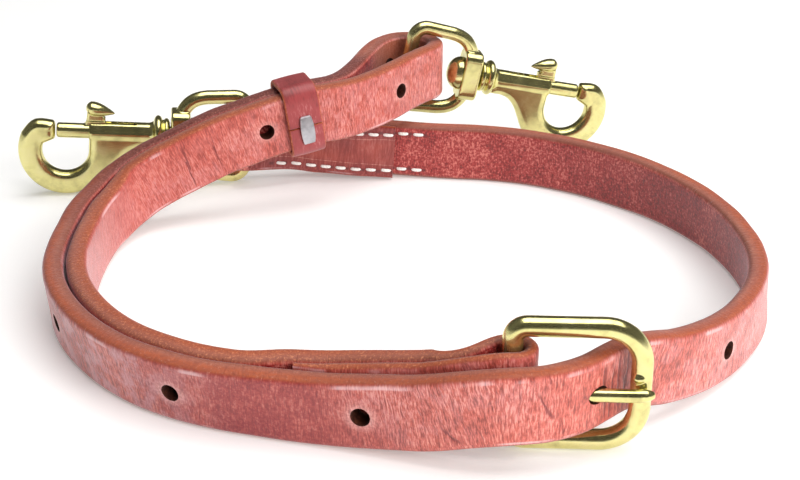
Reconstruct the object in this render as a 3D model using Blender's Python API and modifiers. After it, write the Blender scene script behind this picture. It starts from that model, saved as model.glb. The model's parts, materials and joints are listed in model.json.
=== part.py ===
"""Tie-down martingale: a leather strap with a sliding keeper, a heel bar buckle and two swivel snaps."""

import math

import bmesh
import bpy
import numpy as np
from mathutils import Matrix, Vector

# Strap leather
STRAP_WIDTH = 0.01905
STRAP_THICKNESS = 0.0058
FOLD_THICKNESS = 0.0034
SKIVE_TIP = 0.0016
SKIVE_LENGTH = 0.016
EDGE_CHAMFER = 0.0011
HOLE_DIAMETER = 0.0050
HOLE_SPACING = 0.0500
FIRST_HOLE = 0.0545
HOLES_BEFORE_TONGUE = 1
HOLES_AFTER_TONGUE = 9

# Gaps between layers and between touching pieces
SEAT_GAP = 0.0003
LAYER_GAP = 0.0007
STITCH_GAP = 0.0017
EYE_BAR_PLAY = 0.0011
FLARE_LENGTH = 0.020

# Saddle stitching
STITCH_PITCH = 0.0054
STITCH_THREAD = 0.0011
THREAD_DIP = 0.55
STITCH_EDGE = 0.0030
SNAP_STITCHES = 10
BUCKLE_STITCHES = 8
STEP_CLEAR = 0.0020

# Sewn ends
SNAP_RETURN = 0.0515
BUCKLE_RETURN = 0.058
STITCH_START = 0.0085
SKIVE_REACH = 0.025

# Keeper and its staple
KEEPER_LENGTH = 0.0115
KEEPER_THICKNESS = 0.0018
KEEPER_PLAY = 0.0007
KEEPER_SEAM = 0.0005
KEEPER_CORNER = 0.0020
SEAM_DROP = 0.0012
STAPLE_WIDTH = 0.0046
STAPLE_HEIGHT = 0.0098
STAPLE_THICKNESS = 0.0007
STAPLE_DROP = 0.0022

# Buckle
BUCKLE_WIRE = 0.0052
BUCKLE_OPENING = 0.0256
BUCKLE_LENGTH = 0.0310
BUCKLE_CORNER = 0.0095
BUCKLE_HEEL_CORNER = 0.0034
BUCKLE_YAW = math.radians(-2.5)
SEWN_RISE = 0.0040
TONGUE_DIAMETER = 0.0034
TONGUE_LOOP_WALL = 0.0024
TONGUE_HOLE_PLAY = 0.0006

# Snap, measured along its barrel from the bar of the eye
EYE_WIRE = 0.0048
EYE_OPENING = 0.0236
EYE_LENGTH = 0.0258
EYE_SHOULDER = 0.0136
EYE_TAPER = 0.0006
HUB_LENGTH = 0.0064
HUB_HEIGHT = 0.0174
HUB_WIDTH = 0.0104
RIVET_SHANK = 0.0050
RIVET_HEAD = 0.0116
RIVET_HEAD_HEIGHT = 0.0044
RUNNING_GAP = 0.0003
COLLAR_DIAMETER = 0.0124
COLLAR_LENGTH = 0.0050
BARREL_DIAMETER = 0.0071
BARREL_LENGTH = 0.0268
BOLT_DIAMETER = 0.0051
BOLT_LENGTH = 0.0180
BORE_START = 0.0046
RIVET_SEAT = 0.0030
STEM_LENGTH = 0.0062
SPRING_WIRE = 0.0005
SPRING_TURNS = 7
THROAT_RADIUS = 0.0076
THROAT_DROP = 0.0070
HOOK_RADIUS = 0.0156
HOOK_TIP_GAP = 0.0004
HOOK_TIP_AHEAD = 0.0034
HOOK_TIP_HALF = 0.0033
RIB_DROP = 0.0018
RIB_LENGTH = 0.0060
PLATE_THICKNESS = 0.0060
PLATE_ROUNDING = 0.0022
KNOB_WIDTH = 0.0058
KNOB_STEM = 0.0026
KNOB_ROUNDING = 0.0008
KNOB_LENGTH = 0.0098
KNOB_AHEAD = 0.0008
KNOB_TOP = 0.0070
KNOB_LIP = 0.0022
EDGE_BREAK = 0.0005
SLOT_PLAY = 0.0004
SLOT_REAR = 0.0110

# Heights of the strap's lower edge where hardware lies under it
SNAP_LIFT = EYE_WIRE + SEAT_GAP + 0.0010
BUCKLE_LIFT = BUCKLE_WIRE + SEAT_GAP + SEWN_RISE
STRAP_RIDE = BUCKLE_WIRE + BUCKLE_OPENING - STRAP_WIDTH - 0.0034
RIDE_LENGTH = 0.050
CROSSING_LIFT = STRAP_WIDTH + 0.50 * SNAP_LIFT + 0.0005
LOOP_LIFT = CROSSING_LIFT + 0.0026

# Loose loop that holds the right snap
LOOP_RADIUS = 0.0094
LOOP_CENTRE = (0.0027, 0.1054)
LOOP_FAR_HEADING = math.radians(22)
LOOP_NEAR_HEADING = math.radians(47)

# Directions of the two snaps as they lie
LEFT_SNAP_YAW = math.radians(189)
RIGHT_SNAP_YAW = math.radians(10)

# Middle of the footprint in the coordinates that the route uses
FOOTPRINT_CENTRE = (-0.011004, 0.012151)

# Outer face of the strap from the left snap to the keeper: x, y, lift of the lower edge, outward lean
OUTER_RUN = (
    (-0.0536, 0.0920, SNAP_LIFT, 0),
    (-0.0280, 0.0943, 0.50 * SNAP_LIFT, 0),
    (0.0000, 0.0938, 0.10 * SNAP_LIFT, 0),
    (0.0180, 0.0922, 0, 0),
    (0.0370, 0.0890, 0, 0),
    (0.0690, 0.0720, 0, -1),
    (0.0925, 0.0445, 0, -6),
    (0.1045, 0.0080, 0, -8),
    (0.1030, -0.0210, 0, -4),
    (0.0895, -0.0485, 0.08 * STRAP_RIDE, 0),
    (0.0680, -0.0705, 0.52 * STRAP_RIDE, 0),
    (0.0550, -0.0803, 0.94 * STRAP_RIDE, 0),
    (0.0445, -0.0903, 0.98 * STRAP_RIDE, 0),
    (0.0275, -0.0963, STRAP_RIDE, 0),
    (0.0020, -0.0908, 0.36 * STRAP_RIDE, 1),
    (-0.0255, -0.0829, 0, 5),
    (-0.0492, -0.0767, 0, 10),
    (-0.0710, -0.0645, 0, 11),
    (-0.0875, -0.0460, 0, 9),
    (-0.0988, -0.0210, 0, 4),
    (-0.1015, 0.0060, 0, 1),
    (-0.0985, 0.0330, 0.05 * CROSSING_LIFT, 0),
    (-0.0880, 0.0510, 0.20 * CROSSING_LIFT, 0),
    (-0.0730, 0.0590, 0.45 * CROSSING_LIFT, 0),
    (-0.0550, 0.0655, 0.75 * CROSSING_LIFT, 0),
    (-0.0260, 0.0760, CROSSING_LIFT, 0),
)
BAR_POINT = 13
KEEPER_FROM_END = 0.0082

RUSSET = (0.46, 0.13, 0.10)
KEEPER_RED = (0.38, 0.10, 0.10)
THREAD_WHITE = (0.85, 0.83, 0.78)
BRASS = (0.80, 0.62, 0.26)
STAPLE_STEEL = (0.62, 0.62, 0.64)
SPRING_STEEL = (0.55, 0.55, 0.56)

DENSE_STEP = 0.0010
MOST_TURN = math.radians(6)
MOST_SPACING = 0.009
MOST_TAPER = 0.0006


def clear_scene():
    for item in list(bpy.data.objects):
        bpy.data.objects.remove(item, do_unlink=True)


def new_collection(name):
    made = bpy.data.collections.new(name)
    bpy.context.scene.collection.children.link(made)
    return made


def new_material(name, colour, roughness, metallic):
    made = bpy.data.materials.new(name)
    made.use_nodes = True
    shader = made.node_tree.nodes["Principled BSDF"]
    shader.inputs["Base Color"].default_value = (*colour, 1.0)
    shader.inputs["Roughness"].default_value = roughness
    shader.inputs["Metallic"].default_value = metallic
    return made


clear_scene()
PARTS = new_collection("martingale")
CUTTERS = new_collection("cutters")
LEATHER = new_material("russet_leather", RUSSET, 0.55, 0.0)
KEEPER_LEATHER = new_material("keeper_leather", KEEPER_RED, 0.50, 0.0)
THREAD = new_material("waxed_thread", THREAD_WHITE, 0.70, 0.0)
POLISHED_BRASS = new_material("polished_brass", BRASS, 0.18, 1.0)
STAPLE_METAL = new_material("staple_metal", STAPLE_STEEL, 0.35, 1.0)
SPRING_METAL = new_material("spring_metal", SPRING_STEEL, 0.30, 1.0)


# Placing objects

def add_object(name, data, material=None, parent=None, rotation=(0, 0, 0), location=(0, 0, 0)):
    """Add a part, or a hidden cutter where no material is given."""
    made = bpy.data.objects.new(name, data)
    made.rotation_euler = rotation
    made.location = location
    made.parent = parent
    if material is None:
        CUTTERS.objects.link(made)
        made.hide_render = True
        made.display_type = "WIRE"
    else:
        PARTS.objects.link(made)
        data.materials.append(material)
    return made


def add_frame(name, origin, along, up):
    """Add an empty whose X axis runs along the first direction and whose Z axis leans to the second."""
    x_axis = Vector(along).normalized()
    y_axis = Vector(up).cross(x_axis).normalized()
    z_axis = x_axis.cross(y_axis)
    made = bpy.data.objects.new(name, None)
    made.empty_display_size = 0.01
    made.matrix_world = Matrix.Translation(origin) @ Matrix((x_axis, y_axis, z_axis)).transposed().to_4x4()
    PARTS.objects.link(made)
    return made


def boolean(target, operation, tool):
    step = target.modifiers.new(operation.lower(), "BOOLEAN")
    step.operation = operation
    step.solver = "EXACT"
    step.object = tool
    return step


def smooth(data, angle=40):
    data.shade_smooth()
    data.set_sharp_from_angle(angle=math.radians(angle))


# Making shapes

def mesh_of(builder):
    """Make a mesh from a function that fills a bmesh."""
    work = bmesh.new()
    builder(work)
    bmesh.ops.recalc_face_normals(work, faces=work.faces)
    data = bpy.data.meshes.new("shape")
    work.to_mesh(data)
    work.free()
    return data


def box_mesh(low, high):
    centre = [(a + b) / 2 for a, b in zip(low, high)]
    size = [b - a for a, b in zip(low, high)]

    def build(work):
        place = Matrix.Translation(centre) @ Matrix.Diagonal((*size, 1.0))
        bmesh.ops.create_cube(work, size=1.0, matrix=place)
    return mesh_of(build)


def rods_mesh(rods, sides=12):
    """Make one mesh of round rods, each given as start, end and radius."""
    def build(work):
        for start, end, radius in rods:
            axis = Vector(end) - Vector(start)
            turn = axis.to_track_quat("Z", "Y").to_matrix().to_4x4()
            place = Matrix.Translation((Vector(start) + Vector(end)) / 2) @ turn
            bmesh.ops.create_cone(work, cap_ends=True, segments=sides, radius1=radius, radius2=radius,
                                  depth=axis.length, matrix=place)
    return mesh_of(build)


def turned_mesh(profile, steps):
    """Turn a profile of (radius, height) round Z, listed down its outer side from top to bottom."""
    data = bpy.data.meshes.new("profile")
    points = [(radius, 0, height) for radius, height in profile]
    data.from_pydata(points, [(i, i + 1) for i in range(len(points) - 1)], [])
    holder = bpy.data.objects.new("profile", data)
    PARTS.objects.link(holder)
    screw = holder.modifiers.new("turn", "SCREW")
    screw.steps = steps
    screw.render_steps = steps
    screw.use_merge_vertices = True
    screw.merge_threshold = 0.00001
    return settled_mesh(holder)


def curve_data(rings, dimensions, cyclic=True):
    data = bpy.data.curves.new("outline", "CURVE")
    data.dimensions = dimensions
    for ring in rings:
        spline = data.splines.new("POLY")
        spline.points.add(len(ring) - 1)
        for point, place in zip(spline.points, ring):
            point.co = (*place, *(0.0,) * (3 - len(place)), 1.0)
        spline.use_cyclic_u = cyclic
    return data


def settled_mesh(holder):
    """Turn an object's evaluated shape into a plain mesh with its doubles merged, and drop the object."""
    bpy.context.view_layer.update()
    graph = bpy.context.evaluated_depsgraph_get()
    data = bpy.data.meshes.new_from_object(holder.evaluated_get(graph))
    work = bmesh.new()
    work.from_mesh(data)
    bmesh.ops.remove_doubles(work, verts=work.verts, dist=0.000001)
    work.to_mesh(data)
    work.free()
    data.materials.clear()
    bpy.data.objects.remove(holder, do_unlink=True)
    return data


def plate_mesh(rings, thickness, rounding=0.0):
    """Make a flat plate from outlines in its plane, with rounded rims."""
    data = curve_data(rings, "2D")
    data.fill_mode = "BOTH"
    data.extrude = thickness / 2 - rounding
    data.bevel_depth = rounding
    data.bevel_resolution = 2
    data.offset = -rounding
    holder = bpy.data.objects.new("plate", data)
    PARTS.objects.link(holder)
    return settled_mesh(holder)


def tube_mesh(points, diameter, closed, resolution=2, radii=None):
    data = curve_data([points], "3D", closed)
    for point, share in zip(data.splines[0].points, radii or ()):
        point.radius = share
    data.bevel_depth = diameter / 2
    data.bevel_resolution = resolution
    data.use_fill_caps = not closed
    holder = bpy.data.objects.new("tube", data)
    PARTS.objects.link(holder)
    return settled_mesh(holder)


def arc(centre, radius, start, end, count):
    """List points on an arc in a plane, from one angle in degrees to another."""
    angles = np.radians(np.linspace(start, end, count))
    return [(centre[0] + radius * math.cos(a), centre[1] + radius * math.sin(a)) for a in angles]


def rounded_rectangle(width, height, radius, count=4):
    x, y = width / 2 - radius, height / 2 - radius
    corners = (((x, y), 0), ((-x, y), 90), ((-x, -y), 180), ((x, -y), 270))
    points = []
    for centre, start in corners:
        points += arc(centre, radius, start, start + 90, count)
    return points


# The route of the strap

def natural_spline(knots, values, at):
    """Pass a curve of steady bend through the values at the knots."""
    count = len(knots)
    gaps = np.diff(knots)
    rises = np.diff(values) / gaps
    system = np.eye(count)
    right = np.zeros(count)
    for i in range(1, count - 1):
        system[i, i - 1:i + 2] = gaps[i - 1], 2 * (gaps[i - 1] + gaps[i]), gaps[i]
        right[i] = 6 * (rises[i] - rises[i - 1])
    bends = np.linalg.solve(system, right)
    i = np.clip(np.searchsorted(knots, at) - 1, 0, count - 2)
    before = knots[i + 1] - at
    after = at - knots[i]
    cubic = (bends[i] * before ** 3 + bends[i + 1] * after ** 3) / (6 * gaps[i])
    left_part = (values[i] / gaps[i] - bends[i] * gaps[i] / 6) * before
    return cubic + left_part + (values[i + 1] / gaps[i] - bends[i + 1] * gaps[i] / 6) * after


def eased(knots, values, at):
    """Join values by curves that never pass beyond them."""
    knots = np.asarray(knots, float)
    values = np.asarray(values, float)
    gaps = np.diff(knots)
    rises = np.diff(values) / gaps
    slopes = np.zeros(len(knots))
    for i in range(1, len(knots) - 1):
        if rises[i - 1] * rises[i] > 0:
            slopes[i] = 2 * rises[i - 1] * rises[i] / (rises[i - 1] + rises[i])
    i = np.clip(np.searchsorted(knots, at) - 1, 0, len(gaps) - 1)
    t = np.clip((at - knots[i]) / gaps[i], 0, 1)
    start = (2 * t ** 3 - 3 * t ** 2 + 1) * values[i] + (t ** 3 - 2 * t ** 2 + t) * gaps[i] * slopes[i]
    return start + (3 * t ** 2 - 2 * t ** 3) * values[i + 1] + (t ** 3 - t ** 2) * gaps[i] * slopes[i + 1]


class OuterRun:
    """Outer face of the strap along its long outer run, read at any distance from the left snap."""

    def __init__(self):
        rows = np.array(OUTER_RUN)
        rows[:, :2] -= FOOTPRINT_CENTRE
        self.rows = rows
        steps = np.hypot(np.diff(rows[:, 0]), np.diff(rows[:, 1]))
        self.knots = np.concatenate(([0.0], np.cumsum(steps)))
        self.length = self.knots[-1]
        self.bar = self.knots[BAR_POINT]

    def face(self, at):
        x = natural_spline(self.knots, self.rows[:, 0], at)
        y = natural_spline(self.knots, self.rows[:, 1], at)
        return np.stack((x, y), -1)

    def inward(self, at):
        step = 0.0002
        ahead = self.face(np.minimum(at + step, self.length))
        behind = self.face(np.maximum(at - step, 0.0))
        along = ahead - behind
        along /= np.linalg.norm(along, axis=-1, keepdims=True)
        return np.stack((along[..., 1], -along[..., 0]), -1)

    def heading(self, at):
        inward = self.inward(np.array(at))
        return math.atan2(inward[0], -inward[1])

    def lift(self, at):
        return eased(self.knots, self.rows[:, 2], at)

    def lean(self, at):
        return np.radians(eased(self.knots, self.rows[:, 3], at))

    def layer(self, at, offset, thickness, side):
        """List x, y, lift, lean and thickness of a layer whose middle lies inward by an offset."""
        place = self.face(at) + self.inward(at) * offset[:, None]
        return np.column_stack((place, self.lift(at), side * self.lean(at), thickness))


def turn_points(centre, radius, start, end, lift, thickness, count=16):
    """List a level turn to the right about a centre, from one heading to another."""
    headings = np.linspace(start, end, count)
    x = centre[0] - radius * np.sin(headings)
    y = centre[1] + radius * np.cos(headings)
    same = np.ones(count)
    return np.column_stack((x, y, same * lift, same * 0, same * thickness))


def bow_points(first, start, last, end, lifts, count=24):
    """List a free curve between two points with given headings, for one side of the loose loop."""
    reach = 0.30 * np.linalg.norm(np.subtract(last, first))
    handles = (
        np.array(first),
        np.array(first) + reach * np.array((math.cos(start), math.sin(start))),
        np.array(last) - reach * np.array((math.cos(end), math.sin(end))),
        np.array(last),
    )
    t = np.linspace(0, 1, count)
    shares = ((1 - t) ** 3, 3 * t * (1 - t) ** 2, 3 * t ** 2 * (1 - t), t ** 3)
    place = sum(share[:, None] * handle for share, handle in zip(shares, handles))
    lift = eased((0, 0.6, 1), (lifts[0], lifts[0] * 0.3 + lifts[1] * 0.7, lifts[1]), t)
    same = np.ones(count)
    return np.column_stack((place, lift, same * 0, same * STRAP_THICKNESS))


class StrapRoute:
    """Middle of the strap from its sewn tip at the left snap to its sewn tip at the buckle."""

    def __init__(self):
        run = OuterRun()
        self.run = run
        eye_turn = EYE_WIRE / 2 + EYE_BAR_PLAY
        bar_turn = BUCKLE_WIRE / 2 + SEAT_GAP
        fold = FOLD_THICKNESS

        self.snap_bar = run.face(np.array(0.0)) + run.inward(np.array(0.0)) * (fold + eye_turn)
        self.buckle_bar_depth = STRAP_THICKNESS + STITCH_GAP + fold + bar_turn
        bar_at = np.array(run.bar)
        self.buckle_bar = run.face(bar_at) + run.inward(bar_at) * self.buckle_bar_depth
        self.snap_heading = run.heading(0.0)
        self.bar_heading = run.heading(run.bar)
        end_heading = run.heading(run.length)

        outer_at = np.arange(0.0, run.length, DENSE_STEP)
        outer_thickness = self.outer_thickness(outer_at)
        outer = run.layer(outer_at, outer_thickness / 2, outer_thickness, 1)

        back_at = np.arange(SNAP_RETURN, 0.0, -DENSE_STEP)
        back_thickness = self.return_thickness(back_at, SNAP_RETURN)
        back_offset = self.snap_return_face(back_at) + back_thickness / 2
        snap_return = run.layer(back_at, back_offset, back_thickness, -1)

        inner_at = np.arange(run.length, run.bar, -DENSE_STEP)
        inner_thickness = self.inner_thickness(inner_at)
        inner = run.layer(inner_at, self.inner_face(inner_at) + inner_thickness / 2, inner_thickness, -1)
        inner[:, 2] = self.sewn_lift(inner_at)

        front_at = np.arange(run.bar, run.bar + BUCKLE_RETURN, DENSE_STEP)
        front_thickness = self.return_thickness(front_at - run.bar, BUCKLE_RETURN)
        front_offset = STRAP_THICKNESS + STITCH_GAP + front_thickness / 2
        buckle_return = run.layer(front_at, front_offset, front_thickness, 1)
        buckle_return[:, 2] = self.sewn_lift(front_at)

        half = math.pi
        snap_fold = turn_points(self.snap_bar, eye_turn + fold / 2, self.snap_heading + half,
                                self.snap_heading, SNAP_LIFT, fold)
        loop_centre = np.subtract(LOOP_CENTRE, FOOTPRINT_CENTRE)
        self.loop_centre = loop_centre
        loop = turn_points(loop_centre, LOOP_RADIUS, LOOP_FAR_HEADING, LOOP_NEAR_HEADING - half,
                           LOOP_LIFT, STRAP_THICKNESS, 24)
        far_side = bow_points(outer[-1, :2], end_heading, loop[0, :2], LOOP_FAR_HEADING,
                              (outer[-1, 2], LOOP_LIFT))
        near_side = bow_points(loop[-1, :2], LOOP_NEAR_HEADING - half, inner[0, :2], end_heading - half,
                               (LOOP_LIFT, inner[0, 2]))
        buckle_fold = turn_points(self.buckle_bar, bar_turn + fold / 2, self.bar_heading + half,
                                  self.bar_heading, BUCKLE_LIFT, fold)
        pieces = (snap_return, snap_fold[1:-1], outer, far_side[1:-1], loop, near_side[1:-1], inner,
                  buckle_fold[1:-1], buckle_return)
        self.outer_start = len(snap_return) + len(snap_fold) - 2
        self.rows = np.concatenate(pieces)
        self.place_sections()

    def outer_thickness(self, at):
        knots = (0, SKIVE_REACH, self.run.length)
        return eased(knots, (FOLD_THICKNESS, STRAP_THICKNESS, STRAP_THICKNESS), at)

    def fold_drop(self, at):
        """Give how far the sewn buckle end lies below the layer that runs through the buckle."""
        past = np.asarray(at) - self.run.bar
        drop = eased((0, RIDE_LENGTH), (STRAP_RIDE - BUCKLE_LIFT, 0), past)
        return np.where(past < 0, 0.0, drop)

    def sewn_lift(self, at):
        return self.run.lift(at) - self.fold_drop(at)

    def inner_thickness(self, at):
        bar = self.run.bar
        knots = (bar, bar + SKIVE_REACH, self.run.length)
        return eased(knots, (FOLD_THICKNESS, STRAP_THICKNESS, STRAP_THICKNESS), at)

    def return_thickness(self, at, length):
        knots = (0, length - SKIVE_LENGTH, length)
        return eased(knots, (FOLD_THICKNESS, FOLD_THICKNESS, SKIVE_TIP), at)

    def snap_return_face(self, at):
        """Give the depth of the snap return's hidden face under the outer face."""
        at_bar = FOLD_THICKNESS + EYE_WIRE + 2 * EYE_BAR_PLAY
        sewn = self.outer_thickness(at) + LAYER_GAP
        return sewn + eased((0, FLARE_LENGTH, 1), (at_bar - FOLD_THICKNESS - LAYER_GAP, 0, 0), at)

    def inner_face(self, at):
        """Give the depth under the outer face of the inner layer's face that looks outward."""
        bar = self.run.bar
        behind_return = STRAP_THICKNESS + STITCH_GAP + FOLD_THICKNESS + LAYER_GAP
        at_bar = STRAP_THICKNESS + STITCH_GAP + FOLD_THICKNESS + BUCKLE_WIRE + 2 * SEAT_GAP
        behind_tip = STRAP_THICKNESS + STITCH_GAP + SKIVE_TIP + LAYER_GAP
        doubled = STRAP_THICKNESS + LAYER_GAP
        tip = bar + BUCKLE_RETURN
        knots = (bar, bar + FLARE_LENGTH, tip - SKIVE_LENGTH, tip, tip + SKIVE_LENGTH, self.run.length)
        return eased(knots, (at_bar, behind_return, behind_return, behind_tip, doubled, doubled), at)

    def place_sections(self):
        """Work out the middle, the outward side and the upward side of the strap at every row."""
        rows = self.rows
        floor_line = rows[:, :3]
        along = np.gradient(floor_line, axis=0)
        along /= np.linalg.norm(along, axis=1, keepdims=True)
        flat = np.hypot(along[:, 0], along[:, 1])
        side = np.column_stack((-along[:, 1] / flat, along[:, 0] / flat, np.zeros(len(rows))))
        up = np.cross(along, side)
        lean_cos = np.cos(rows[:, 3])[:, None]
        lean_sin = np.sin(rows[:, 3])[:, None]
        self.thickness = rows[:, 4]
        rise = STRAP_WIDTH / 2 * lean_cos + self.thickness[:, None] / 2 * abs(lean_sin)
        self.middle = floor_line + up * rise
        self.up = up * lean_cos + side * lean_sin
        self.side = side * lean_cos - up * lean_sin
        self.along = along
        steps = np.linalg.norm(np.diff(self.middle, axis=0), axis=1)
        self.distance = np.concatenate(([0.0], np.cumsum(steps)))

    def nearest(self, distance):
        return int(np.argmin(abs(self.distance - distance)))

    def stations(self):
        """Pick the rows that the solid needs: close together in bends, far apart on straight stretches."""
        picked = [0]
        for i in range(1, len(self.rows) - 1):
            last = picked[-1]
            turn = math.acos(min(1.0, float(self.along[i] @ self.along[last])))
            swing = math.acos(min(1.0, float(self.up[i] @ self.up[last])))
            taper = abs(self.thickness[i] - self.thickness[last])
            spacing = self.distance[i] - self.distance[last]
            if max(turn, swing) > MOST_TURN or taper > MOST_TAPER or spacing > MOST_SPACING:
                picked.append(i)
        return picked + [len(self.rows) - 1]


def strap_section(route, i):
    """List the eight corners of the strap's chamfered section at one row."""
    half = route.thickness[i] / 2
    high = STRAP_WIDTH / 2
    cut = min(EDGE_CHAMFER, 0.6 * half)
    corners = ((half, high - cut), (half - cut, high), (cut - half, high), (-half, high - cut),
               (-half, cut - high), (cut - half, -high), (half - cut, -high), (half, cut - high))
    return [route.middle[i] + route.side[i] * a + route.up[i] * b for a, b in corners]


def strap_mesh(route):
    """Loft the strap through its sections, which change in thickness, lean and direction."""
    def build(work):
        rings = [[work.verts.new(p) for p in strap_section(route, i)] for i in route.stations()]
        for first, second in zip(rings, rings[1:]):
            for k in range(8):
                work.faces.new((first[k], first[k - 1], second[k - 1], second[k]))
        work.faces.new(rings[0])
        work.faces.new(rings[-1])
    return mesh_of(build)


ROUTE = StrapRoute()
BUCKLE_MIDDLE = BUCKLE_WIRE + BUCKLE_OPENING / 2
BUCKLE_HEADING = (math.cos(BUCKLE_YAW), math.sin(BUCKLE_YAW), 0)
BUCKLE_FRAME = add_frame("buckle_pivot", (*ROUTE.buckle_bar, BUCKLE_MIDDLE), BUCKLE_HEADING, (0, 0, 1))
TONGUE_HEIGHT = TONGUE_DIAMETER + 0.0010
TONGUE_SIDE = -(BUCKLE_WIRE / 2 + SEAT_GAP + TONGUE_DIAMETER / 2)
TONGUE_DROP = 0.98 * STRAP_RIDE + STRAP_WIDTH / 2 - BUCKLE_MIDDLE


def tongue_hole_row():
    """Find where the straight tongue meets the middle of the strap."""
    along = np.array(BUCKLE_HEADING[:2])
    across = np.array((-along[1], along[0]))
    outer = slice(ROUTE.outer_start, ROUTE.outer_start + int(ROUTE.run.length / DENSE_STEP))
    offset = (ROUTE.rows[outer, :2] - ROUTE.buckle_bar) @ across - TONGUE_SIDE
    ahead = (ROUTE.rows[outer, :2] - ROUTE.buckle_bar) @ along
    offset[(ahead < 0) | (ahead > BUCKLE_LENGTH)] = 1.0
    return ROUTE.outer_start + int(np.argmin(abs(offset)))


def hole_rods():
    """List a rod through the strap at each adjusting hole except the one that the tongue fills."""
    tongue = ROUTE.distance[tongue_hole_row()]
    rods = []
    for number in range(-HOLES_BEFORE_TONGUE, HOLES_AFTER_TONGUE + 1):
        if number == 0:
            continue
        stretch = math.copysign(FIRST_HOLE - HOLE_SPACING, number)
        i = ROUTE.nearest(tongue + number * HOLE_SPACING + stretch)
        reach = ROUTE.side[i] * (ROUTE.thickness[i] / 2 + LAYER_GAP / 2)
        rods.append((ROUTE.middle[i] - reach, ROUTE.middle[i] + reach, HOLE_DIAMETER / 2))
    return rods


def make_strap():
    strap = add_object("strap", strap_mesh(ROUTE), LEATHER)
    boolean(strap, "DIFFERENCE", add_object("adjusting_holes", rods_mesh(hole_rods())))
    reach = BUCKLE_WIRE / 2 + SEAT_GAP + FOLD_THICKNESS + SEAT_GAP
    tall = TONGUE_HEIGHT / 2 + TONGUE_HOLE_PLAY
    slot = rods_mesh([((0, 0, TONGUE_DROP - tall), (0, 0, TONGUE_DROP + tall), reach)], 24)
    boolean(strap, "DIFFERENCE", add_object("tongue_slot", slot, parent=BUCKLE_FRAME))
    clear = TONGUE_DIAMETER / 2 + TONGUE_HOLE_PLAY
    hole = rods_mesh([((0, TONGUE_SIDE, TONGUE_DROP), (BUCKLE_LENGTH, TONGUE_SIDE, TONGUE_DROP), clear)])
    boolean(strap, "DIFFERENCE", add_object("tongue_hole", hole, parent=BUCKLE_FRAME))


# Buckle

def make_buckle():
    half = (BUCKLE_OPENING + BUCKLE_WIRE) / 2
    heel = BUCKLE_HEEL_CORNER
    toe = BUCKLE_CORNER
    outline = arc((BUCKLE_LENGTH - toe, half - toe), toe, 90, 0, 7)
    outline += arc((BUCKLE_LENGTH - toe, toe - half), toe, 0, -90, 7)
    outline += arc((heel, heel - half), heel, -90, -180, 4)
    outline += arc((heel, half - heel), heel, 180, 90, 4)
    wire = tube_mesh([(x, 0, z) for x, z in outline], BUCKLE_WIRE, True)
    smooth(wire)
    add_object("buckle_frame", wire, POLISHED_BRASS, BUCKLE_FRAME)

    inside = BUCKLE_WIRE / 2 + SEAT_GAP
    outside = inside + TONGUE_LOOP_WALL
    tall = TONGUE_HEIGHT / 2
    section = ((inside, tall), (outside, tall), (outside, -tall), (inside, -tall), (inside, tall))
    ring = turned_mesh(section, 20)
    smooth(ring)
    tongue = add_object("buckle_tongue", ring, POLISHED_BRASS, BUCKLE_FRAME, location=(0, 0, TONGUE_DROP))
    tip = BUCKLE_LENGTH + BUCKLE_WIRE / 2
    stations = ((0, 1.0), (BUCKLE_LENGTH * 0.8, 1.0), (tip - TONGUE_DIAMETER / 2, 0.9), (tip, 0.5))
    points = [(x, TONGUE_SIDE - TONGUE_DIAMETER / 2 * (share - 1.0), TONGUE_DROP) for x, share in stations]
    shaft = tube_mesh(points, TONGUE_DIAMETER, False, radii=[share for x, share in stations])
    boolean(tongue, "UNION", add_object("tongue_shaft", shaft, parent=BUCKLE_FRAME))


# Keeper

def make_keeper():
    i = ROUTE.outer_start + int((ROUTE.run.length - KEEPER_FROM_END) / DENSE_STEP)
    between = ROUTE.middle[i] - ROUTE.side[i] * (STRAP_THICKNESS + LAYER_GAP) / 2
    place = add_frame("keeper_slide", between, ROUTE.along[i], ROUTE.up[i])
    upright = (math.pi / 2, 0, math.pi / 2)
    inner_depth = 2 * STRAP_THICKNESS + LAYER_GAP + 2 * KEEPER_PLAY
    inner_height = STRAP_WIDTH + 2 * KEEPER_PLAY
    wall = KEEPER_THICKNESS
    inner = rounded_rectangle(inner_depth, inner_height, EDGE_CHAMFER)
    outer = rounded_rectangle(inner_depth + 2 * wall, inner_height + 2 * wall, KEEPER_CORNER)
    sleeve = plate_mesh((outer, inner), KEEPER_LENGTH)
    band = add_object("keeper_band", sleeve, KEEPER_LEATHER, place, upright)

    near = -inner_depth / 2
    half_width = STAPLE_WIDTH / 2
    seam = box_mesh((-KEEPER_LENGTH, near - 2 * wall, -SEAM_DROP - KEEPER_SEAM / 2),
                    (KEEPER_LENGTH, near + KEEPER_PLAY / 2, -SEAM_DROP + KEEPER_SEAM / 2))
    boolean(band, "DIFFERENCE", add_object("keeper_seam", seam, parent=place))
    crown = near - wall - SEAT_GAP
    leg_end = near - wall * 0.15
    for side, name in ((1, "upper"), (-1, "lower")):
        height = side * (STAPLE_HEIGHT - STAPLE_THICKNESS) / 2 - STAPLE_DROP
        spread = STAPLE_THICKNESS / 2 + SEAT_GAP
        slot = box_mesh((-half_width - SEAT_GAP, near - 2 * wall, height - spread),
                        (half_width + SEAT_GAP, near + KEEPER_PLAY / 2, height + spread))
        boolean(band, "DIFFERENCE", add_object("staple_slot_" + name, slot, parent=place))
    top = STAPLE_HEIGHT / 2 - STAPLE_DROP
    low = -STAPLE_HEIGHT / 2 - STAPLE_DROP
    sheet = STAPLE_THICKNESS
    profile = ((crown - sheet, low), (leg_end, low), (leg_end, low + sheet), (crown, low + sheet),
               (crown, top - sheet), (leg_end, top - sheet), (leg_end, top), (crown - sheet, top))
    add_object("keeper_staple", plate_mesh((profile,), STAPLE_WIDTH), STAPLE_METAL, place, upright)


# Stitching

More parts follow.
